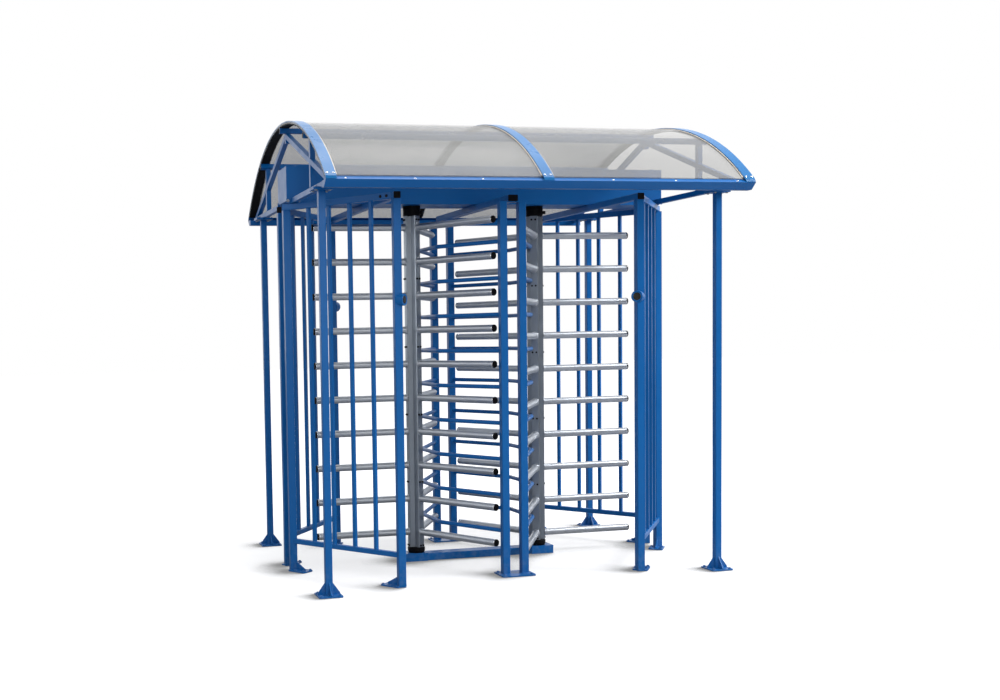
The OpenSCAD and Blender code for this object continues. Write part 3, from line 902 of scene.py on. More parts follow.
@dataclass
class Station:
    """Places that the small parts share, read from the solids.

    The plate beside a cage post lies under the panel, its middle at plate_reach from the post's axis, so the
    boxes of two plates give the panel's direction and the axes of its posts.

    Attributes:
        plate: thickness of a base plate.
        post: side of a cage post.
        plate_reach: distance of a plate's middle from its post's axis.
        rotor_x: distance of a rotor's axis from the middle.
        post_top: top of the cage posts.
        outer: axis of the front right outer post.
        side: axis of the side post at the other end of its panel.
        middle: centre of the front pair of middle posts.
        canopy: axis of the front right canopy post.
    """

    plate: float = 0.008
    post: float = 0.045
    plate_reach: float = 0.057
    rotor_x: float = field(init=False)
    post_top: float = field(init=False)
    outer: Array = field(init=False)
    side: Array = field(init=False)
    middle: Array = field(init=False)
    canopy: Array = field(init=False)

    def __post_init__(self) -> None:
        """Reads post and rotor centres from the boxes of the nodes.

        The arms sweep past the bearings' sides, so a rotor axis is one bearing radius inside their outer end.
        """
        bearing = self.box("top_bearings")
        self.rotor_x = float(bearing[1, 0] - (bearing[1, 1] - bearing[0, 1]) / 2)
        plate, pair = self.box("front_right_post"), self.box("right_side_posts")
        self.post_top = plate[1, 2]
        first = plate.mean(0)[:2]
        second = np.array([pair[:, 0].mean(), pair[0, 1] + (plate[1, 1] - plate[0, 1]) / 2])
        along = (second - first) / np.linalg.norm(second - first)
        self.outer = first - self.plate_reach * along
        self.side = second + self.plate_reach * along
        self.middle = self.box("front_middle_posts").mean(0)[:2]
        self.canopy = self.box("canopy_post_front_right").mean(0)[:2]

    @staticmethod
    def box(node: str) -> Array:
        """Lowest and highest corner of a node, one row each."""
        return np.array([list(corner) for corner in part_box(node)])

    def panel(self) -> Array:
        """Direction of the front right panel, from the outer post to the side post."""
        turn = math.atan2(*(self.side - self.outer)[::-1])
        return np.array([math.cos(turn), math.sin(turn)])

    @staticmethod
    def corners(centre: Array, pitch: Pair, height: float) -> Array:
        """Four places round a centre.

        Args:
            centre: the centre in the plane.
            pitch: distances along X and Y.
            height: height of the places.

        Returns:
            Places, shape (4, 3).
        """
        return np.column_stack([SQUARE * np.array(pitch) / 2 + centre, np.full(4, height)])

    @staticmethod
    def quadrants(rows: Array) -> Array:
        """Mirrors rows given at the front right to all four quarters.

        Args:
            rows: places with X right and Y front, shape (n, 3).

        Returns:
            Places, quarter after quarter, shape (4 n, 3).
        """
        return (rows[None] * QUARTERS[:, None]).reshape(-1, 3)

    @staticmethod
    def facing(direction: Sequence[float], count: int = 1) -> Array:
        """Mirrors a direction as quadrants does, once for each of count places in a quarter."""
        return np.repeat(QUARTERS * np.asarray(direction, float), count, axis=0)


@dataclass
class Trim:
    """Small parts of one sub-assembly.

    Attributes:
        at: shared places.
        skin: the finishes.
        hardware: shapes of the fasteners.
    """

    at: Station
    skin: Finishes
    hardware: Hardware


@dataclass
class Feet(Trim):
    """Anchor bolts in the base plates and the welds round the posts' feet.

    Attributes:
        cage_holes: distances of the holes from a cage post's axis.
        cage_flank: their distance from the panel's middle line.
        canopy_pitch: distances of the holes round a canopy post.
        middle_pitch: distances of the holes round the middle posts.
        middle_gap: distance between the axes of the two middle posts.
        canopy_post: side of a canopy post.
        spread: angle in radians over which the nuts are left turned.
        bead: the weld round a post.
        bead_lift: its height over the plate.
    """

    cage_holes: Pair = (0.0458, 0.109)
    cage_flank: float = 0.032
    canopy_pitch: Pair = (0.104, 0.104)
    middle_pitch: Pair = (0.170, 0.110)
    middle_gap: float = 0.118
    canopy_post: float = 0.040
    spread: float = 5.0
    bead: Bead = Bead(0.0028, 0.22, 72)
    bead_lift: float = 0.0006

    def beside(self, centre: Array, along: Array) -> Array:
        """Places of the four holes in the plate beside a cage post.

        Hole (a, b) is at centre + a * along + b * flank, where flank is along turned a quarter to the left.

        Args:
            centre: the post's axis in the plane.
            along: direction in which the plate runs from it.

        Returns:
            Places, shape (4, 3).
        """
        flank = np.array([-along[1], along[0]])
        rows = np.array([[x, y] for x in self.cage_holes for y in (-self.cage_flank, self.cage_flank)])
        return np.column_stack([rows @ np.stack([along, flank]) + centre, np.full(4, self.at.plate)])

    def bolts(self) -> None:
        """Builds the bolts of every plate."""
        at, along = self.at, self.at.panel()
        middle = at.corners(at.middle, self.middle_pitch, at.plate)
        places = np.concatenate([
            at.quadrants(np.concatenate([
                self.beside(at.outer, along),
                self.beside(at.side, -along),
                at.corners(at.canopy, self.canopy_pitch, at.plate),
            ])),
            middle,
            middle * QUARTERS[1],
        ])
        spin = np.linspace(0, self.spread, len(places))
        across = np.column_stack([np.cos(spin), np.sin(spin), np.zeros(len(places))])
        built("anchor_bolts", self.hardware.anchor_bolt().copies(frames(places, UP, across)), self.skin.cap)

    def welds(self) -> None:
        """Builds the beads round the middle posts and the canopy posts."""
        at, z = self.at, self.at.plate + self.bead_lift
        gap = self.middle_gap / 2
        pairs = np.array([[sx * gap, sy * at.middle[1], z] for sx in (-1, 1) for sy in (-1, 1)])
        tall = at.quadrants(np.array([[*at.canopy, z]]))
        built("foot_welds", joined([
            self.bead.square(at.post).copies(frames(pairs, UP, EAST)),
            self.bead.square(self.canopy_post).copies(frames(tall, UP, EAST)),
        ]), self.skin.weld)

    def build(self) -> None:
        """Builds the bolts and the welds."""
        self.bolts()
        self.welds()


@dataclass
class Cage(Trim):
    """Welds, plugs and caps of the barred panels.

    Attributes:
        bars: bars in a panel.
        bar: side of a bar.
        rail: width and height of a panel's top rail.
        bottom_rail_top: top of its bottom rail.
        plugs: distances of the rail's plugs from the outer post's axis.
        bead: the weld round a bar.
    """

    bars: int = 4
    bar: float = 0.020
    rail: Pair = (0.030, 0.037)
    bottom_rail_top: float = 0.199
    plugs: Pair = (0.055, 0.098)
    bead: Bead = Bead(0.0021, 0.2, 48)

    def build(self) -> None:
        """Builds the bar welds, the rail plugs and the rail caps."""
        at, along = self.at, self.at.panel()
        length = float(np.linalg.norm(at.side - at.outer))
        step = (length - at.post) / (self.bars + 1)
        reach = at.post / 2 + step * np.arange(1, self.bars + 1)
        foot = at.outer + reach[:, None] * along
        ends = [np.column_stack([foot, np.full(self.bars, z)]) for z in (self.bottom_rail_top, at.post_top)]
        places = frames(at.quadrants(np.concatenate(ends)), UP, at.facing([*along, 0], 2 * self.bars))
        built("bar_welds", self.bead.square(self.bar).copies(places), self.skin.weld)

        width, height = self.rail
        out = np.array([along[1], -along[0], 0.0])
        mid = at.post_top + height / 2
        spots = np.array([[*(at.outer + d * along), mid] for d in self.plugs]) + out * width / 2
        places = frames(at.quadrants(spots), at.facing(out, len(spots)))
        built("rail_plugs", self.hardware.rail_plug().copies(places), self.skin.plastic)

        end = at.side + (at.post / 2) * along
        cap = slab(rounded_square((height / 2, width / 2), 0.003), (-0.001, 0.0022, 0.0032), (0, 0, 0.0011))
        places = frames(at.quadrants(np.array([[*end, mid]])), at.facing([*along, 0]))
        built("rail_caps", cap.copies(places), self.skin.plastic)


@dataclass
class Rotor(Trim):
    """Trims of one rotor: bolts on the wings, collar welds and the rims at the arms' ends.

    Attributes:
        body: the rotor's body.
        side: -1 for the left rotor, 1 for the right.
        rows: rows of arms round the column.
        arms: arms in a row.
        collar: diameter of the collar at an arm's root.
        collar_h: height of the collar.
        arm: diameter of an arm.
        cap: length of an arm's end cap.
        rim: length of the bright rim beside it.
        wing: distance of a wing's face from the axis.
        pair: distance between the two bolts of a pair.
        bolt_low: height of the lowest pair over the column's foot.
        bolt_high: depth of the highest pair under its top.
        root: the weld round the collar.
        neck: the weld between collar and arm.
        neck_play: distance of its middle line from the arm.
    """

    body: Body
    side: int
    rows: int = 3
    arms: int = 10
    collar: float = 0.049
    collar_h: float = 0.005
    arm: float = 0.043
    cap: float = 0.009
    rim: float = 0.0055
    wing: float = 0.048
    pair: float = 0.024
    bolt_low: float = 0.0105
    bolt_high: float = 0.0235
    root: Bead = Bead(0.0019, 0.22, 48)
    neck: Bead = Bead(0.0016, 0.2, 40)
    neck_play: float = 0.0006

    def heights(self) -> Array:
        """Heights of the arms, from the extent of their collars."""
        box, half = self.at.box(f"{self.body.value}_arms"), self.collar / 2
        return np.linspace(box[0, 2] + half, box[1, 2] - half, self.arms)

    def around(self, radius: float, heights: Array) -> tuple[Array, Array]:
        """Places on every row of arms.

        The rows are equal turns apart, and the first points away from the other rotor.

        Args:
            radius: distance of the places from the rotor's axis.
            heights: their heights.

        Returns:
            Places and their outward directions, one row each.
        """
        turn = np.arange(self.rows) * TAU / self.rows
        ways = self.side * np.column_stack([np.cos(turn), np.sin(turn), np.zeros(self.rows)])
        out = np.repeat(ways, len(heights), axis=0)
        base = np.column_stack([np.zeros((len(out), 2)), np.tile(heights, self.rows)])
        return base + (self.side * self.at.rotor_x, 0.0, 0.0) + out * radius, out

    def build(self) -> None:
        """Builds the bolts, welds and rims."""
        z, name = self.heights(), self.body.value
        column = self.at.box(f"{name}_column")
        between = (z[1:-1:2] + z[2::2]) / 2
        levels = np.concatenate([[column[0, 2] + self.bolt_low], between, [column[1, 2] - self.bolt_high]])
        places, out = self.around(self.wing, levels)
        sideways = np.cross(UP, out) * self.pair / 2
        both = frames(np.concatenate([places + sideways, places - sideways]), np.concatenate([out, out]))
        built(f"{name}_wing_bolts", self.hardware.cap_screw().copies(both), self.skin.bolt_black, self.body)

        seat = self.wing + WELD_LIFT
        built(f"{name}_arm_welds", joined([
            self.root.round(self.collar / 2).copies(frames(*self.around(seat, z))),
            self.neck.round(self.arm / 2 + self.neck_play).copies(frames(*self.around(seat + self.collar_h, z))),
        ]), self.skin.steel, self.body)

        tip = float(np.abs(self.at.box(f"{name}_caps")[:, 0]).max()) - self.at.rotor_x
        r, w = self.arm / 2, self.rim
        sleeve = spun(np.array([
            [r + 0.0007, -w], [r - 0.0015, -w], [r - 0.0015, 0.0], [r + 0.0002, 0.0], [r + 0.0007, -0.0006],
        ]), 40)
        places = frames(*self.around(tip - self.cap, z))
        built(f"{name}_arm_rims", sleeve.copies(places), self.skin.rim, self.body)


@dataclass
class Bearings(Trim):
    """Bolts, ribs and lugs of the bearing housings, and the ribs of the boots.

    Attributes:
        bolt_ring: radius of the ring of bolts under a housing.
        bolt_drop: depth of the bolts under the housing's top.
        seat_drop: depth of the housing's lower rib.
        rib_pitch: height of the upper rib over it.
        boot_ribs: heights of the boot's ribs over its foot.
        lug: half the size of a lug.
        lug_turn: angle of a lug round the axis, in radians.
        lug_out: distance of its middle from the housing's wall.
        lug_drop: depth of its middle under the lower rib.
        beam_bolts: heights of the bolts in the floor beam's ends.
        rib: bead of a housing's rib.
        rib_sink: how far its middle line lies inside the wall.
        boot: bead of a boot's rib.
        boot_sink: how far its middle line lies inside the wall.
    """

    bolt_ring: float = 0.043
    bolt_drop: float = 0.062
    seat_drop: float = 0.0245
    rib_pitch: float = 0.014
    boot_ribs: Triple = (0.016, 0.023, 0.030)
    lug: Triple = (0.011, 0.009, 0.010)
    lug_turn: float = -0.5
    lug_out: float = 0.006
    lug_drop: float = 0.016
    beam_bolts: Pair = (0.016, 0.036)
    rib: Bead = Bead(0.0018, sides=8)
    rib_sink: float = 0.0004
    boot: Bead = Bead(0.0022, sides=8)
    boot_sink: float = 0.0006

    def build(self) -> None:
        """Builds the ribs, the lugs and the bolts."""
        top, low = self.at.box("top_bearings"), self.at.box("bottom_bearings")
        radius, seat = float(top[1, 1]), top[1, 2] - self.seat_drop
        axes = np.array([[-self.at.rotor_x, 0, 0], [self.at.rotor_x, 0, 0]])
        rib, boot = self.rib.round(radius - self.rib_sink), self.boot.round(radius - self.boot_sink)
        forms = [rib.copies(frames(axes + (0, 0, seat + z), UP)) for z in (0.0, self.rib_pitch)]
        forms += [boot.copies(frames(axes + (0, 0, low[0, 2] + z), UP)) for z in self.boot_ribs]
        out = np.array([math.cos(self.lug_turn), math.sin(self.lug_turn), 0.0])
        spots = axes + out * (radius + self.lug_out) + (0, 0, seat - self.lug_drop)
        forms.append(block(self.lug).copies(frames(spots, UP, out)))
        built("bearing_trims", joined(forms), self.skin.plastic)

        turn = np.arange(4) * TAU / 4 + TAU / 8
        ring = np.column_stack([np.cos(turn), np.sin(turn), np.zeros(4)]) * self.bolt_ring
        under = (axes[:, None] + ring[None]).reshape(-1, 3) + (0, 0, top[1, 2] - self.bolt_drop)
        built("bearing_bolts", self.hardware.bearing_bolt().copies(frames(under, DOWN)), self.skin.bolt_black)

        beam = self.at.box("floor_beam")
        ends = np.array([[s * beam[1, 0], 0, z] for s in (-1, 1) for z in self.beam_bolts])
        places = frames(ends, ends * EAST)
        built("beam_end_bolts", self.hardware.cap_screw().copies(places), self.skin.bolt_black)


@dataclass
class Displays(Trim):
    """Bezel and lens of the round displays on the outer posts.

    Attributes:
        play: gap between the lens and its bezel.
        rise: height of the lens's dome.
    """

    play: float = 0.0005
    rise: float = 0.0022

    def build(self) -> None:
        """Builds the lens domes and the bezels.

        A stub of radius s that reaches l from the post at 45 degrees extends its box by (l + s) / root 2.
        """
        stub, face = self.at.box("display_stubs"), self.at.box("display_faces")
        s, r = (stub[1, 2] - stub[0, 2]) / 2, (face[1, 2] - face[0, 2]) / 2
        reach = math.sqrt(2) * (stub[1, 1] + self.at.outer[1]) - s
        out = np.array([-1.0, -1.0, 0.0]) / math.sqrt(2)
        spot = np.array([[*self.at.outer, stub[:, 2].mean()]]) + out * reach
        places = frames(self.at.quadrants(spot), self.at.facing(out))
        angle = np.linspace(0, math.pi / 2 - 0.02, 9)
        dome = [(r * math.cos(a) ** 0.5, self.rise * math.sin(a), 0) for a in angle]
        built("display_lenses", lathe([(r, -0.003, 0), *dome], 40).copies(places), self.skin.lens)
        inner = r + self.play
        bezel = spun(np.array([
            [s * 0.995, -0.0012], [inner, -0.0012], [inner, 0.0006], [inner + 0.001, 0.0016],
            [s * 0.96, 0.0016], [s * 0.995, 0.0004],
        ]))
        built("display_bezels", bezel.copies(places), self.skin.coat)


@dataclass
class Canopy(Trim):
    """Joints, seals, screws and brackets of the canopy.

    Attributes:
        shoe: half the side of a truss shoe.
        shoe_t: its thickness.
        shoe_bolts: distances of the bolts in it.
        tube: side of the truss and purlin tubes.
        strut_y: distance of the struts and side purlins from the ridge.
        strut_bead: the weld round a strut.
        bracket: thickness and leg of a housing bracket.
        bracket_bolt: distance of its bolt from the chord.
        sheet_t: thickness of the roof sheets, and of the strips over them.
        bedding: depth of the side purlins under the sheet.
        seal: half the width, lower and upper height of a seal.
        seal_lift: height of its foot over the sheet.
        seal_end: angle by which it stops short of the sheet's end, in radians.
        seal_steps: places along it.
        lip: run and rise of the gutter's lip.
        lip_screw: distance of its screws from its edge.
        screw_pitch: distance between them.
        screw_end: distance of the last of them from the gutter's end.
        screw_clear: how far they keep from the middle, under the middle strip's foot.
        strip_screw: half the distance between the two screws at a strip's foot.
        strip_end: angle of these screws from the strip's end, in radians.
        foot_t: thickness of a strip's foot.
        foot_lift: gap under its edge on the lip.
        foot_play: gap between its inner corner and the sheet's outer face.
        plug_rise: how far a purlin's plug stands out.
        lid_screws: screws along each long side of the housing's lid.
        lid_edge: their distance from its edge.
        lid_end: distance of the last of them from its end.
    """

    shoe: float = 0.055
    shoe_t: float = 0.006
    shoe_bolts: Pair = (0.076, 0.076)
    tube: float = 0.030
    strut_y: float = 0.640
    strut_bead: Bead = Bead(0.0022, 0.2, 48)
    bracket: Pair = (0.004, 0.030)
    bracket_bolt: float = 0.019
    sheet_t: float = 0.008
    bedding: float = 0.0056
    seal: Triple = (0.0035, 0.0022, 0.0036)
    seal_lift: float = 0.0002
    seal_end: float = 0.004
    seal_steps: int = 97
    lip: Pair = (0.036, 0.022)
    lip_screw: float = 0.011
    screw_pitch: float = 0.35
    screw_end: float = 0.11
    screw_clear: float = 0.05
    strip_screw: float = 0.017
    strip_end: float = 0.014
    foot_t: float = 0.0025
    foot_lift: float = 0.0004
    foot_play: float = 0.0006
    plug_rise: float = 0.0008
    lid_screws: int = 11
    lid_edge: float = 0.018
    lid_end: float = 0.06

    def shoes(self) -> None:
        """Plates under the truss chords, bolted to the posts' head plates."""
        at, bolt = self.at, self.hardware.joint_bolt()
        top = at.box("canopy_post_front_right")[1, 2]
        z = top + CLEAR
        outline = rounded_square((self.shoe, self.shoe), 0.004)
        plate = slab(outline, (0.0, self.shoe_t - 0.0008, self.shoe_t), (0.0, 0.0, 0.0008))
        spots = at.quadrants(np.array([[*at.canopy, z]]))
        built("truss_shoes", plate.copies(frames(spots, UP, EAST)), self.skin.coat)
        above = at.quadrants(at.corners(at.canopy, self.shoe_bolts, z + self.shoe_t))
        below = at.quadrants(at.corners(at.canopy, self.shoe_bolts, top - at.plate))
        form = joined([bolt.copies(frames(above, UP)), bolt.copies(frames(below, DOWN))])
        built("head_bolts", form, self.skin.zinc)

    def welds(self) -> None:
        """Beads where the struts stand on the chords."""
        chord = self.at.box("left_truss")[0, 2] + self.tube
        x = float(self.at.box("right_truss").mean(0)[0])
        rows = np.array([[x, -self.strut_y, chord + WELD_LIFT]])
        places = frames(self.at.quadrants(rows), UP, EAST)
        built("truss_welds", self.strut_bead.square(self.tube).copies(places), self.skin.weld)

    def brackets(self) -> None:
        """Angle brackets that hold the chords to the drive housing, with a bolt each.

        The section is an L of two legs with a filled inner corner, carried up the chord's side.
        """
        housing, truss = self.at.box("drive_housing"), self.at.box("right_truss")
        x, y, z = float(truss.mean(0)[0]), float(housing[0, 1]), float(truss[0, 2])
        half, (t, leg) = self.tube / 2, self.bracket
        fill, deep = t + 0.003, t + 0.0009
        ell = np.array([[0, 0], [leg, 0], [leg, t], [fill, t], [deep, deep], [t, fill], [t, leg], [0, leg]])
        levels = (z + 0.002, z + self.tube - 0.002)
        forms, bolts, normals = [], [], []
        for sx, sy, flank in ((i, j, k) for i in (-1, 1) for j in (-1, 1) for k in (-1, 1)):
            flat = np.column_stack([sx * x + flank * (half + ell[:, 0]), sy * (ell[:, 1] - y)])
            rings = np.stack([np.column_stack([flat, np.full(len(ell), level)]) for level in levels])
            forms.append(wrapped(rings[:, ::-1] if flank * sy < 0 else rings))
            bolts.append([sx * x + flank * (half + self.bracket_bolt), sy * (t - y), z + half])
            normals.append([0, sy, 0])
        built("housing_brackets", joined(forms), self.skin.coat)
        places = frames(np.array(bolts), np.array(normals))
        built("bracket_bolts", self.hardware.joint_bolt().copies(places), self.skin.zinc)

    def vault(self) -> Pair:
        """Radius of the sheets' outer face and height of its axis.

        The outer face has the radius r about the height z1 - r, where z1 is the crown's height, and the inner
        face the radius r - t. A sheet ends at the angle f on both sides of its crown. Its outer edge is at the
        distance y = r sin f from the ridge, and its inner edge at the height z0 = z1 - r + (r - t) cos f.
        Starting near, r moves half of the way to y / sin f at each of sixty steps.

        Returns:
            The radius and the height of the axis.
        """
        sheet = self.at.box("left_roof_sheet")
        y, low, top = float(sheet[1, 1]), float(sheet[0, 2]), float(sheet[1, 2])
        radius, steps = 1.6, 60
        for _ in range(steps):
            foot = math.acos(min(1.0, (low - (top - radius)) / (radius - self.sheet_t)))
            radius += 0.5 * (y / math.sin(foot) - radius)
        return radius, top - radius

    def seals(self) -> None:
        """Lips that close the gap between the sheets and the edges of the cover strips, coloured pale cream as a
        painted highlight of the glow along the sheets' edges.

        The section is six-sided: upright up to its shoulders, and narrower at its top.
        """
        radius, axis = self.vault()
        half = math.asin(float(self.at.box("left_roof_sheet")[1, 1]) / radius) - self.seal_end
        turn = np.linspace(-half, half, self.seal_steps)
        outward = np.column_stack([np.zeros(self.seal_steps), np.sin(turn), np.cos(turn)])
        w, shoulder, top = self.seal
        crest = w - 0.0020
        section = np.array([[-w, 0.0], [w, 0.0], [w, shoulder], [crest, top], [-crest, top], [-w, shoulder]])
        end = float(self.at.box("right_arch")[0, 0]) - w
        mid = float(self.at.box("middle_arch")[1, 0]) + w
        base = outward * (radius + self.seal_lift) + (0.0, 0.0, axis)
        forms = [carried(base + (x, 0.0, 0.0), section, outward) for x in (-end, -mid, mid, end)]
        built("strip_seals_painted_highlight", joined(forms), self.skin.seal)

    def screws(self) -> None:
        """Screws at the strips' feet and along the gutters' lips."""
        radius, axis = self.vault()
        outer = radius + self.sheet_t + CLEAR
        strips = np.array([float(self.at.box(f"{n}_arch").mean(0)[0]) for n in ("left", "middle", "right")])
        foot = math.asin(float(self.at.box("middle_arch")[1, 1]) / outer) - self.strip_end
        places, normals = [], []
        for sign in (-1.0, 1.0):
            out = np.array([0.0, sign * math.sin(foot), math.cos(foot)])
            for dx in (-self.strip_screw, self.strip_screw):
                places.append(np.column_stack([strips + dx, np.zeros((3, 2))]) + out * outer + (0, 0, axis))
                normals.append(np.tile(out, (3, 1)))
        gutter = self.at.box("front_gutter")
        run, rise = self.lip
        tilt = np.array([0.0, -rise, run]) / math.hypot(rise, run)
        count = int((gutter[1, 0] - gutter[0, 0]) / self.screw_pitch)
        x = np.linspace(gutter[0, 0] + self.screw_end, gutter[1, 0] - self.screw_end, count)
        x = x[np.abs(x) > self.screw_clear]
        y, z = gutter[0, 1] + self.lip_screw, gutter[1, 2] - rise * (1 - self.lip_screw / run)
        for sign in (1.0, -1.0):
            places.append(np.column_stack([x, np.full(len(x), y), np.full(len(x), z)]) * (1, sign, 1))
            normals.append(np.tile(tilt * (1, sign, 1), (len(x), 1)))
        form = self.hardware.pan_screw().copies(frames(np.concatenate(places), np.concatenate(normals)))
        built("roof_screws", form, self.skin.rim)

    def feet(self) -> None:
        """Feet that carry each cover strip's end down to the outer edge of the gutter's lip.

        The section has four corners: the lip's outer edge, the inner and the outer corner of the strip's end,
        and the point at foot_t over the lip's edge.
        """
        radius, axis = self.vault()
        outer = radius + self.sheet_t + CLEAR
        gutter = self.at.box("front_gutter")
        turn = math.asin(self.at.box("middle_arch")[1, 1] / outer)
        end = np.array([-math.sin(turn), math.cos(turn)])
        run, rise = self.lip
        level = gutter[1, 2] - rise * (1 - self.foot_t / run) + self.foot_lift
        edge = np.array([gutter[0, 1] + self.foot_t, level])
        square = np.array([-rise, run]) / math.hypot(rise, run)
        corners = np.array([
            edge,
            end * (radius + self.foot_play) + (0, axis),
            end * outer + (0, axis),
            edge + square * self.foot_t,
        ])
        forms = []
        for node in ("left_arch", "middle_arch", "right_arch"):
            span = self.at.box(node)[:, 0]
            for sign in (1, -1):
                flat = corners[::sign] * (sign, 1)
                forms.append(wrapped(np.stack([np.column_stack([np.full(4, x), flat]) for x in span])))
        built("strip_feet", joined(forms), self.skin.strip)

    def purlin_caps(self) -> None:
        """Black plugs in the open ends of the purlins."""
        box, half = self.at.box("roof_purlins"), self.tube / 2
        outline = rounded_square((half - 0.001, half - 0.001), 0.003)
        cap = slab(outline, (-0.004, -0.0006, 0.0), (0, 0, 0.0008))
        radius, axis = self.vault()
        top = radius - self.sheet_t - self.bedding
        turn, reach = math.asin(self.strut_y / top), top - half
        places, across = [], []
        for sx in (-1, 1):
            x = sx * (box[1, 0] + self.plug_rise)
            places.append([x, 0.0, box[1, 2] - half])
            across.append([0, 1, 0])
            for sy in (-1, 1):
                places.append([x, sy * reach * math.sin(turn), axis + reach * math.cos(turn)])
                across.append([0, math.cos(turn), -sy * math.sin(turn)])
        normals = np.repeat([[-1, 0, 0], [1, 0, 0]], 3, axis=0)
        built("purlin_plugs", cap.copies(frames(np.array(places), normals, np.array(across))), self.skin.plastic)

    def lid_bolts(self) -> None:
        """Screws along the edges of the housing's lid."""
        right, back, top = self.at.box("housing_lid")[1]
        x = np.linspace(self.lid_end - right, right - self.lid_end, self.lid_screws)
        rows = [[v, s * (back - self.lid_edge), top] for v in x for s in (-1, 1)]
        ends = [[s * (right - self.lid_edge), 0.0, top] for s in (-1, 1)]
        built("lid_screws", self.hardware.joint_bolt().copies(frames(np.array(rows + ends), UP)), self.skin.cap)

    def build(self) -> None:
        """Builds every part of the canopy's trim."""
        self.shoes()
        self.welds()
        self.brackets()
        self.seals()
        self.screws()
        self.feet()
        self.purlin_caps()
        self.lid_bolts()


# ---------------------------------------------------------------- studio


@dataclass(frozen=True)
class Lamp:
    """A soft square lamp.

    Attributes:
        name: the lamp's name.
        place: where it hangs.
        aim: height over the origin of the point that it faces.
        size: side of the square.
        power: watts.
    """

    name: str
    place: Triple
    aim: float
    size: float
    power: float

    def hang(self) -> None:
        """Hangs the lamp."""
        data = bpy.data.lights.new(self.name, "AREA")
        data.shape, data.size, data.energy = "SQUARE", self.size, self.power
        body = bpy.data.objects.new(self.name, data)
        body.location = self.place
        way = Vector((0, 0, self.aim)) - Vector(self.place)
        body.rotation_euler = way.to_track_quat("-Z", "Y").to_euler()
        bpy.context.scene.collection.objects.link(body)


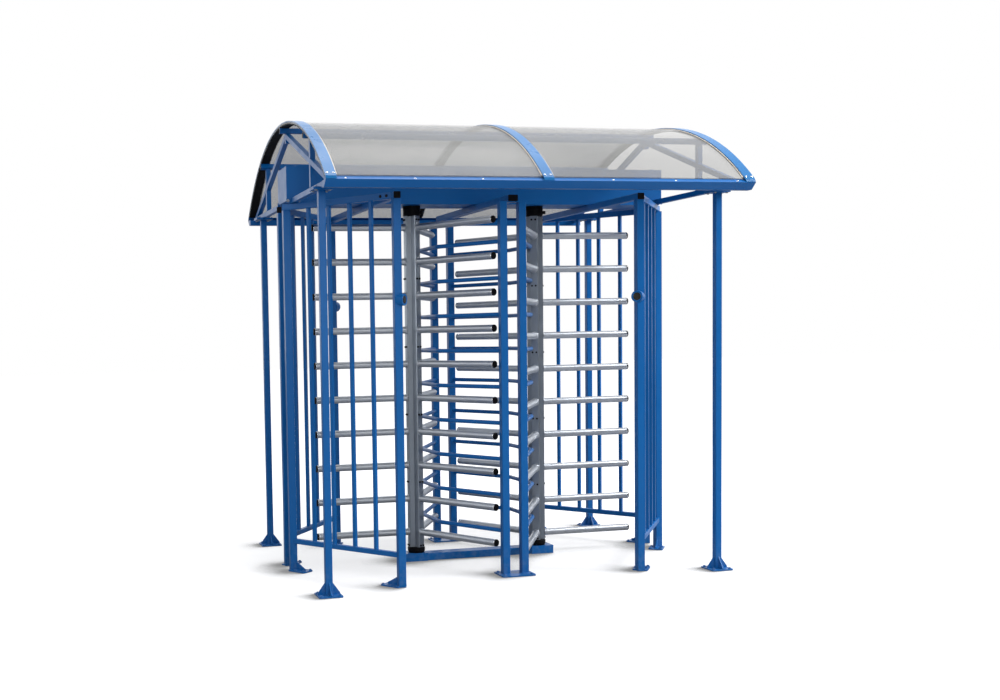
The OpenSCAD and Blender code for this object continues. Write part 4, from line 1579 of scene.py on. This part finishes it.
@dataclass
class Studio:
    """Floor, lights and camera.

    Attributes:
        eye: camera place.
        yaw: turn of the view to the left of +Y, in degrees, negative to the right.
        pitch: rise of the view, in degrees.
        roll: turn of the picture, in degrees.
        lens: focal length in millimetres on a 36 mm frame.
        shift: sideways and upward shift of the frame.
        lamps: the lamps.
        floor_side: half the floor's side.
        floor_drop: how far the floor lies under the feet.
        foot_shade: reach of the painted shadow beside each post, in metres.
        foot_side: direction in which the floor looks for a nearby part; where it finds one, it paints a shadow.
    """

    eye: Triple = (-2.7477, -7.1822, 1.4630)
    yaw: float = -12.494
    pitch: float = -3.474
    roll: float = -1.163
    lens: float = 42.712
    shift: Pair = (0.20, 0.055)
    lamps: tuple[Lamp, ...] = (
        Lamp("key", (6.5, -2.5, 6.0), 1.0, 3.0, 800),
        Lamp("front", (-1.0, -9.0, 4.0), 1.2, 5.0, 300),
        Lamp("top", (0.0, 0.0, 7.5), 1.0, 5.0, 260),
        Lamp("left", (-7.0, -1.0, 3.0), 1.2, 3.0, 50),
    )
    floor_side: float = 40.0
    floor_drop: float = 0.0008
    foot_shade: float = 0.28
    foot_side: Triple = (0.86, 0.0, 0.51)

    def camera(self) -> None:
        """Stands the camera.

        The view is (-sin yaw cos pitch, cos yaw cos pitch, sin pitch), right is (cos yaw, sin yaw, 0), and both
        right and up are then turned by the roll.
        """
        yaw, pitch, roll = (math.radians(v) for v in (self.yaw, self.pitch, self.roll))
        view = Vector((-math.sin(yaw) * math.cos(pitch), math.cos(yaw) * math.cos(pitch), math.sin(pitch)))
        right = Vector((math.cos(yaw), math.sin(yaw), 0.0))
        up = right.cross(view)
        across = right * math.cos(roll) + up * math.sin(roll)
        rise = up * math.cos(roll) - right * math.sin(roll)
        data = bpy.data.cameras.new("camera")
        data.lens, data.sensor_width = self.lens, 36.0
        data.shift_x, data.shift_y = self.shift
        data.clip_start, data.clip_end = 0.1, 100.0
        body = bpy.data.objects.new("camera", data)
        rows = [(across[i], rise[i], -view[i], self.eye[i]) for i in range(3)]
        body.matrix_world = Matrix([*rows, (0, 0, 0, 1)])
        bpy.context.scene.collection.objects.link(body)
        bpy.context.scene.camera = body

    def floor_finish(self) -> bpy.types.Material:
        """Pale floor, lifted to white away from the object for the camera, with a painted shadow beside each post's
        foot.

        The floor looks out along foot_side: where something stands within foot_shade there, it gets a painted shadow
        that no lamp casts.

        Returns:
            The floor's material.
        """
        material = bpy.data.materials.new("studio_floor")
        material.use_nodes = True
        b = Board(material.node_tree, "ShaderNodeOutputMaterial")
        path = b.add("ShaderNodeLightPath")
        away = b.add("ShaderNodeVectorMath", operation="LENGTH")
        b.join(b.place, away, 0, "Object")
        share = b.add("ShaderNodeMath", operation="MULTIPLY")
        b.join(path, share, 0, "Is Camera Ray")
        b.join(b.band(away, "Value", (0.8, 3.5), (0.66, 1.0)), share, 1)
        glow = b.add("ShaderNodeEmission")
        b.join(share, glow, "Strength")
        lit = b.add("ShaderNodeAddShader")
        b.join(b.add("ShaderNodeBsdfDiffuse", {"Color": (0.40, 0.40, 0.41, 1)}), lit, 0)
        b.join(glow, lit, 1)
        # Painted shadow: ambient occlusion along foot_side, not a lamp, darkens the floor beside each post's foot.
        close = b.add("ShaderNodeAmbientOcclusion", {"Distance": self.foot_shade}, samples=24)
        b.join(b.add("ShaderNodeCombineXYZ", dict(zip("XYZ", self.foot_side))), close, "Normal")
        clear = b.band(close, "AO", (0.74, 0.93), (0.2, 1.0))
        painted_shadow = b.add("ShaderNodeEmission", {"Strength": 0.12})
        b.join(b.mixed(clear, painted_shadow, lit), b.output, "Surface")
        return material

    def floor(self) -> None:
        """Lays the floor."""
        s = self.floor_side
        mesh = bpy.data.meshes.new("floor")
        mesh.from_pydata([(-s, -s, 0), (s, -s, 0), (s, s, 0), (-s, s, 0)], [], [(0, 1, 2, 3)])
        mesh.materials.append(self.floor_finish())
        floor = bpy.data.objects.new("floor", mesh)
        floor.location.z = -self.floor_drop
        bpy.context.scene.collection.objects.link(floor)
        floor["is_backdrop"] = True

    def surroundings(self) -> None:
        """Lights the world evenly and shows it white to the camera and through the sheets.

        To gloss it is white behind, and falls off towards the front like an unlit room.
        """
        world = bpy.data.worlds.new("studio")
        world.use_nodes = True
        b = Board(world.node_tree, "ShaderNodeOutputWorld")
        path = b.add("ShaderNodeLightPath")
        split = b.add("ShaderNodeSeparateXYZ")
        b.join(b.place, split, 0, "Generated")
        white = {"Color": (1, 1, 1, 1), "Strength": 1.0}
        room = b.add("ShaderNodeBackground", white)
        b.join(b.band(split, "Y", (-0.7, 0.9), (0.04, 1.5)), room, "Strength")
        mix = b.add("ShaderNodeBackground", {"Color": (0.93, 0.96, 1.0, 1), "Strength": 0.38})
        mix = b.mixed(path, mix, room, "Is Glossy Ray")
        for ray in ("Is Camera Ray", "Is Transmission Ray"):
            mix = b.mixed(path, mix, b.add("ShaderNodeBackground", white), ray)
        b.join(mix, b.output, "Surface")
        bpy.context.scene.world = world

    def build(self) -> None:
        """Sets up the studio."""
        self.floor()
        self.surroundings()
        self.camera()
        for lamp in self.lamps:
            lamp.hang()
        bpy.context.scene.view_settings.view_transform = "Standard"


# ---------------------------------------------------------------- assembly


@dataclass
class Turnstile:
    """The dressed turnstile.

    Attributes:
        frame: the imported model.
    """

    frame: dict[str, object]

    def dress(self, skin: Finishes) -> None:
        """Gives every node the finish of its material slot, and columns and cover strips their own.

        Args:
            skin: the finishes.
        """
        finish = skin.by_slot()
        special = {"column": skin.column, "arch": skin.strip}
        for part in self.frame["record"]["subparts"]:
            name, slot = part["node"], part["material_slot"]
            materials = self.frame["nodes"][name].data.materials
            materials.clear()
            materials.append(special.get(name.split("_")[-1], finish[slot]).material)
            log.info("%s dressed in %s", name, slot)

    def build(self) -> None:
        """Dresses the nodes and builds every sub-assembly in order."""
        skin = Finishes()
        self.dress(skin)
        shared = (Station(), skin, Hardware())
        Feet(*shared).build()
        Cage(*shared).build()
        Rotor(*shared, Body.LEFT, -1).build()
        Rotor(*shared, Body.RIGHT, 1).build()
        Bearings(*shared).build()
        Displays(*shared).build()
        Canopy(*shared).build()


def corners() -> list[list[float]]:
    """Lowest and highest corner of all that is shown, as plain lists."""
    return [[float(v) for v in corner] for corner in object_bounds()]


def main() -> None:
    """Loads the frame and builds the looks."""
    for old in list(bpy.data.objects):
        bpy.data.objects.remove(old)
    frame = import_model()
    Turnstile(frame).build()
    Studio().build()


if __name__ == "__main__":
    main()
